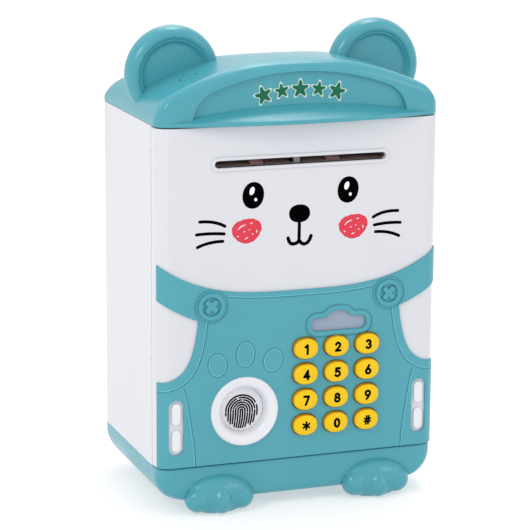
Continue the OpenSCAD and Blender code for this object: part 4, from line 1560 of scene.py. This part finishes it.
def digit_lines(name: str) -> list[tuple[Outline, bool]]:
    """Returns the pen lines of a digit or sign, about its middle, with whether each is closed."""
    quarters = ((1, 1), (-1, -1), (-1, 1), (1, -1))
    pen_lines: dict[str, list[Outline]] = {
        "1": [[(-0.85, 1.05), (-0.3, 1.45), (0.2, 1.85)], [(0.22, 1.9), (0.22, 0), (0.22, -2.2)]],
        "2": [
            arc(0, 0.8, 1.0, 1.05, 165, -38, 18) + [(-0.95, -1.8)],
            [(-1.05, -1.85), (0, -1.85), (1.25, -1.85)],
        ],
        "3": [arc(-0.05, 0.9, 0.95, 0.95, 150, -75, 16), arc(-0.05, -0.88, 1.1, 0.98, 75, -150, 18)],
        "4": [
            [(0.5, 1.9), (0.5, 0), (0.5, -2.1)],
            [(0.4, 1.8), (-0.4, 0.5), (-1.2, -0.8)],
            [(-1.3, -0.9), (0, -0.9), (1.25, -0.9)],
        ],
        "5": [
            [(1.05, 1.85), (0.2, 1.85), (-0.7, 1.85)],
            [(-0.7, 1.85), (-0.8, 1.1), (-0.9, 0.35)],
            arc(-0.1, -0.65, 1.15, 1.2, 130, -150, 20),
        ],
        "6": [[(0.5, 2.0), (-0.25, 0.9), (-0.9, -0.2)]],
        "7": [[(-1.1, 1.85), (0, 1.85), (1.1, 1.85)], [(1.05, 1.75), (0.4, 0), (-0.4, -2.1)]],
        "9": [[(-0.5, -2.0), (0.25, -0.9), (0.9, 0.2)]],
        "hash": [
            [(-0.75, -1.9), (-0.55, 0), (-0.35, 1.9)],
            [(0.35, -1.9), (0.55, 0), (0.75, 1.9)],
            [(-1.4, 0.65), (0, 0.65), (1.5, 0.65)],
            [(-1.5, -0.65), (0, -0.65), (1.4, -0.65)],
        ],
        "star": [
            *([(0, s * 0.35), (0, s * 1.0), (0, s * 1.75)] for s in (1, -1)),
            *([(s * 0.3, t * 0.2), (s * 0.9, t * 0.5), (s * 1.5, t * 0.9)] for s, t in quarters),
        ],
    }
    rings: dict[str, list[Outline]] = {
        "0": [ellipse(0, 0, 1.08, 1.85)],
        "6": [ellipse(0, -0.8, 1.1, 1.08)],
        "8": [ellipse(0, 0.95, 0.88, 0.88), ellipse(0, -0.9, 1.08, 1.0)],
        "9": [ellipse(0, 0.8, 1.1, 1.08)],
    }
    lines = [(line, False) for line in pen_lines.get(name, [])]
    return lines + [(line, True) for line in rings.get(name, [])]


@dataclass
class FingerDish:
    """The white dish that leads a fingertip to the printed pad."""

    x: float = -27.2
    z: float = 47.5
    radius: float = 16.4
    throat: float = 10.5
    pad_y: float = -37.0
    pad_r: float = 10.42
    ridge_count: int = 7
    ridge_first: float = 0.55
    ridge_gap: float = 1.18
    ridge_w: float = 0.84

    def build(self, paints: Paints) -> None:
        """Makes the dish, the pad and the printed ridges."""
        centre = Vector((self.x, PLAN.front, self.z))
        r = self.radius
        profile = [(self.throat, 5.5), (self.throat, 2.6)]
        profile += arc(14.2, 2.6, 14.2 - self.throat, 4.8, 180, 262, 12) + [(14.9, -2.25)]
        profile += arc(15.1, -1.2, r - 15.1, 1.25, -90, 0, 6) + [(r, -1.0), (13.1, -1.0), (13.0, 5.5)]
        profile += [(self.throat, 5.5)]
        dish = revolve("finger_dish", profile, centre, Vector((0, 1, 0)), 112)
        dress(dish, paints["dish_white"], "door", ["fingerprint_bezel"], weighted=False)
        outline = circle(self.x, self.z, self.pad_r, 72)
        pad = plate("finger_pad_cap", outline, Facing.FRONT, self.pad_y, self.pad_y + 3.4, 0.12)
        dress(pad, paints["dish_white"], "finger_pad", ["fingerprint_pad"])
        ridges = Shapes()
        for line in self.ridges():
            ridges.add_stroke(line, self.ridge_w, taper=0.9)
        ink = solid_shapes("finger_pad_print", ridges, self.pad_y - 0.04, self.pad_y + 0.2)
        dress(ink, paints["ink_black"], "finger_pad", weighted=False)

    def ridges(self) -> list[Outline]:
        """Returns broken arched lines inside an oval, as on a fingertip."""
        half_w, half_h = 7.8, 8.1
        lines = []
        steps, leg = 80, 0.3
        crown = 1 - leg
        for k in range(self.ridge_count):
            wide = self.ridge_first + self.ridge_gap * k
            loop = []
            for n in range(steps + 1):
                t = n / steps
                if leg < t < crown:
                    a = math.pi * (crown - t) / (1 - 2 * leg)
                    loop.append((wide * math.cos(a), 0.4 + wide * 0.96 * math.sin(a)))
                else:
                    run = (leg - t) / leg if t <= leg else (t - crown) / leg
                    sign = -1 if t <= leg else 1
                    loop.append((sign * wide * (1 - 0.1 * run * run) - 1.3 * run * run, 0.4 - 9.0 * run))
            run_on: Outline = []
            for n, (a, b) in enumerate(loop):
                inside = (a / half_w) ** 2 + (b / half_h) ** 2 < 1.0
                gap = (n * 7 + k * 29) % 67 < 3 and k > 1
                if inside and not gap:
                    run_on.append((self.x + a, self.z - 1.2 + b))
                else:
                    if len(run_on) > 3:
                        lines.append(run_on)
                    run_on = []
            if len(run_on) > 3:
                lines.append(run_on)
        return lines


KEYPAD = Keypad()
DISH = FingerDish()


@dataclass
class FacePrint:
    """The printed animal face: eyes, nose, mouth, cheeks and whiskers."""

    base: float = -40.05
    eye_x: float = 23.1
    eye_z: float = 148.3
    glints: tuple[Point2, ...] = ((-23.7, 150.4), (22.4, 150.2))
    cheeks: tuple[Point2, ...] = ((-26.1, 132.2), (25.9, 131.1))
    cheek_radii: Point2 = (7.0, 5.75)
    whisker_w: float = 1.45
    mouth_w: float = 1.7
    scribble_w: float = 0.52
    smiles: tuple[tuple[Point2, ...], ...] = (
        ((-6.1, 127.4), (-5.6, 125.7), (-4.6, 124.7), (-3.3, 124.5), (-1.8, 124.9), (-0.8, 125.9)),
        ((-0.7, 125.9), (0.4, 124.7), (1.7, 124.1), (3.2, 124.6), (4.4, 126.0), (5.1, 127.8)),
    )
    whiskers: tuple[tuple[Point2, Point2, Point2], ...] = (
        ((-48.6, 137.6), (-42.0, 137.0), (-36.6, 134.9)),
        ((-50.1, 131.8), (-43.6, 131.9), (-37.0, 131.4)),
        ((-49.7, 125.9), (-44.0, 127.6), (-37.6, 128.0)),
        ((35.8, 134.6), (41.2, 136.6), (48.1, 136.9)),
        ((36.4, 130.8), (42.8, 131.4), (49.4, 131.2)),
        ((37.0, 127.6), (43.2, 127.0), (48.8, 125.0)),
    )

    def build(self, paints: Paints) -> None:
        """Makes the black, coral and white inks as three thin pieces."""
        black, coral, white = Shapes(), Shapes(), Shapes()
        for side in Side:
            black.add_outline(ellipse(side.value * self.eye_x, self.eye_z, 5.15, 6.15, -8, 56, 2.1))
        for x, z in self.glints:
            white.add_outline(ellipse(x, z, 1.15, 1.95, -18, 28))
            white.add_outline(ellipse(x + 1.8, z - 4.1, 0.72, 0.78, 0, 20))
        black.add_outline(ellipse(-0.6, 138.6, 5.1, 4.15, 0, 56, 2.25))
        black.add_stroke([(-0.65, 135.0), (-0.7, 130.5), (-0.75, 125.4)], 1.55)
        for smile in self.smiles:
            black.add_stroke(list(smile), self.mouth_w)
        for a, b, c in self.whiskers:
            middle = (2 * b[0] - (a[0] + c[0]) / 2, 2 * b[1] - (a[1] + c[1]) / 2)
            black.add_stroke([bezier(a, middle, c, k / 10) for k in range(11)], self.whisker_w)
        for x, z in self.cheeks:
            coral.add_outline(self.cheek(x, z))
            for line in self.scribbles():
                white.add_stroke([(x + a, z + b) for a, b in line], self.scribble_w, taper=0.35)
        for name, shapes, proud in (("black", black, 0.0), ("coral", coral, 0.0), ("white", white, 0.05)):
            made = solid_shapes(f"face_print_{name}", shapes, self.base - proud, self.base - proud + 0.2)
            dress(made, paints[f"ink_{name}"], "door", weighted=False)

    def cheek(self, x: float, z: float) -> Outline:
        """Returns the uneven outline of a crayoned cheek."""
        outline = []
        wide, high = self.cheek_radii
        steps = 96
        for k in range(steps):
            a = 2 * math.pi * k / steps
            r = 1 + 0.05 * math.cos(3 * a - 1.9) + 0.035 * math.cos(2 * a - 1.2)
            r = r + 0.012 * math.sin(11 * a + 1.0) + 0.01 * math.cos(17 * a)
            outline.append((x + wide * r * math.cos(a), z + high * r * math.sin(a)))
        return outline

    def scribbles(self) -> list[Outline]:
        """Returns the bare streaks in a cheek, about its middle."""
        return [
            [(-4.3, 0.6), (-3.3, 1.7), (-2.1, 2.4), (-0.6, 2.8)],
            [(1.6, 3.6), (2.2, 3.2), (2.7, 3.5)],
            [(4.5, 0.1), (4.9, -0.6), (4.7, -1.3)],
            [(-4.7, -2.1), (-4.2, -2.5), (-3.8, -2.2)],
            [(-0.9, -3.9), (-0.1, -3.5), (0.6, -3.2)],
            [(1.0, 0.2), (1.25, 0.45), (1.5, 0.3)],
            [(-1.5, -0.6), (-1.2, -0.35), (-0.9, -0.45)],
            [(2.4, -1.9), (2.8, -1.6), (3.1, -1.9)],
        ]


# ---------------------------------------------------------------- carried parts


def dress_carried(frame: dict, paints: Paints) -> None:
    """Gives the CAD nodes that stay in view their finishes.

    Args:
        paints: The materials.
    """
    finishes = {
        "steel": (
            *("ear_screws", "cap_screws", "base_screws", "inner_cover_screws", "battery_cover_screw"),
            *("battery_contacts", "hinge_pins", "feed_motor", "drive_shaft", "pinch_shaft"),
            *("lock_keeper", "lock_bolt", "lock_spring"),
        ),
        "brass": ("motor_pinion",),
        "teal_plastic": ("battery_cover",),
        "foot_rubber": ("rear_feet",),
        "grey_plastic": ("cash_floor", "inner_cover"),
        "guide_brown": ("bill_guide",),
        "white_plastic": ("drive_gear", "bill_sensor_lever"),
        "black_plastic": ("speaker", "touch_switch", "lock_solenoid"),
        "window_lavender": ("status_window",),
        "led_resin": ("indicator_leds",),
        "membrane_rubber": ("key_membrane",),
        "board_green": ("control_board",),
        "roller_rubber": ("drive_rollers", "pinch_rollers"),
        "cell_wrap": ("battery_cells",),
    }
    for finish, names in finishes.items():
        for name in names:
            node = frame["nodes"][name]
            if not node.material_slots:
                node.data.materials.append(paints[finish])
            for held in node.material_slots:
                held.material = paints[finish]


# ---------------------------------------------------------------- studio


@dataclass
class Studio:
    """A plain pale floor, soft lights and the camera."""

    azimuth: float = -19.963
    elevation: float = 12.802
    roll: float = -0.399
    distance: float = 1.0772
    lens: float = 157.73
    sensor: float = 36.0
    target: tuple[float, float, float] = (-0.011317, -0.023746, 0.11167)
    floor_z: float = -0.0002
    middle_z: float = 0.11
    lights: tuple[tuple[str, tuple[float, float, float], float, float], ...] = (
        ("key_light", (-1.0, -0.6, 0.95), 0.4, 4.2),
        ("fill_light", (0.9, -1.0, 0.7), 0.5, 1.6),
        ("top_light", (0.27, 0.32, 1.4), 0.45, 4.2),
        ("rim_light", (0.24, 0.85, 1.1), 0.6, 2.0),
    )

    def build(self) -> None:
        """Makes camera, floor, world and lights."""
        self.build_camera()
        bpy.ops.mesh.primitive_plane_add(size=8.0, location=(0, 0, self.floor_z))
        floor = bpy.context.active_object
        floor.name = "studio_floor"
        paper = bpy.data.materials.new("studio_paper")
        paper.use_nodes = True
        shader = paper.node_tree.nodes["Principled BSDF"]
        shader.inputs["Base Color"].default_value = linear((190, 190, 191))
        shader.inputs["Roughness"].default_value = 0.9
        shader.inputs["Emission Color"].default_value = (1.0, 1.0, 1.0, 1.0)
        shader.inputs["Emission Strength"].default_value = 0.5
        floor.data.materials.append(paper)
        world = bpy.data.worlds.new("studio_world")
        world.use_nodes = True
        sky = world.node_tree.nodes["Background"]
        sky.inputs["Color"].default_value = (1.0, 1.0, 1.0, 1.0)
        sky.inputs["Strength"].default_value = 1.0
        bpy.context.scene.world = world
        bpy.context.scene.view_settings.view_transform = "Standard"
        for light in self.lights:
            self.add_light(*light)

    def build_camera(self) -> None:
        """Makes the camera that looks at the bank's front left."""
        a, e, r = (math.radians(v) for v in (self.azimuth, self.elevation, self.roll))
        back = Vector((math.sin(a) * math.cos(e), -math.cos(a) * math.cos(e), math.sin(e)))
        right = Vector((math.cos(a), math.sin(a), 0))
        up = back.cross(right)
        cam_x = right * math.cos(r) - up * math.sin(r)
        cam_y = right * math.sin(r) + up * math.cos(r)
        data = bpy.data.cameras.new("camera")
        data.lens = self.lens
        data.sensor_width = self.sensor
        camera = bpy.data.objects.new("camera", data)
        bpy.context.scene.collection.objects.link(camera)
        place = Vector(self.target) + back * self.distance
        camera.matrix_world = Matrix.Translation(place) @ Matrix((cam_x, cam_y, back)).transposed().to_4x4()
        bpy.context.scene.camera = camera

    def add_light(self, name: str, place: tuple[float, float, float], size: float, power: float) -> None:
        """Adds a square soft light that looks at the bank's middle."""
        data = bpy.data.lights.new(name, "AREA")
        data.energy = power
        data.size = size
        light = bpy.data.objects.new(name, data)
        bpy.context.scene.collection.objects.link(light)
        light.location = place
        aim = Vector((0, 0, self.middle_z)) - Vector(place)
        light.rotation_euler = aim.to_track_quat("-Z", "Y").to_euler()


def main() -> None:
    """Builds the bank round its frame, in order."""
    logging.basicConfig(level=logging.INFO, format="%(name)s: %(message)s")
    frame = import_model()
    deselect()
    Studio().build()
    paints = Paints()
    dress_carried(frame, paints)
    for assembly in (
        RearHousing(),
        DomedCap(),
        Ear(Side.LEFT),
        Ear(Side.RIGHT),
        BaseTray(),
        Paw(Side.LEFT),
        Paw(Side.RIGHT),
        FrontDoor(),
        Bib(),
        KEYPAD,
        DISH,
        FacePrint(),
    ):
        log.info("building %s", type(assembly).__name__)
        assembly.build(paints)


if __name__ == "__main__":
    main()
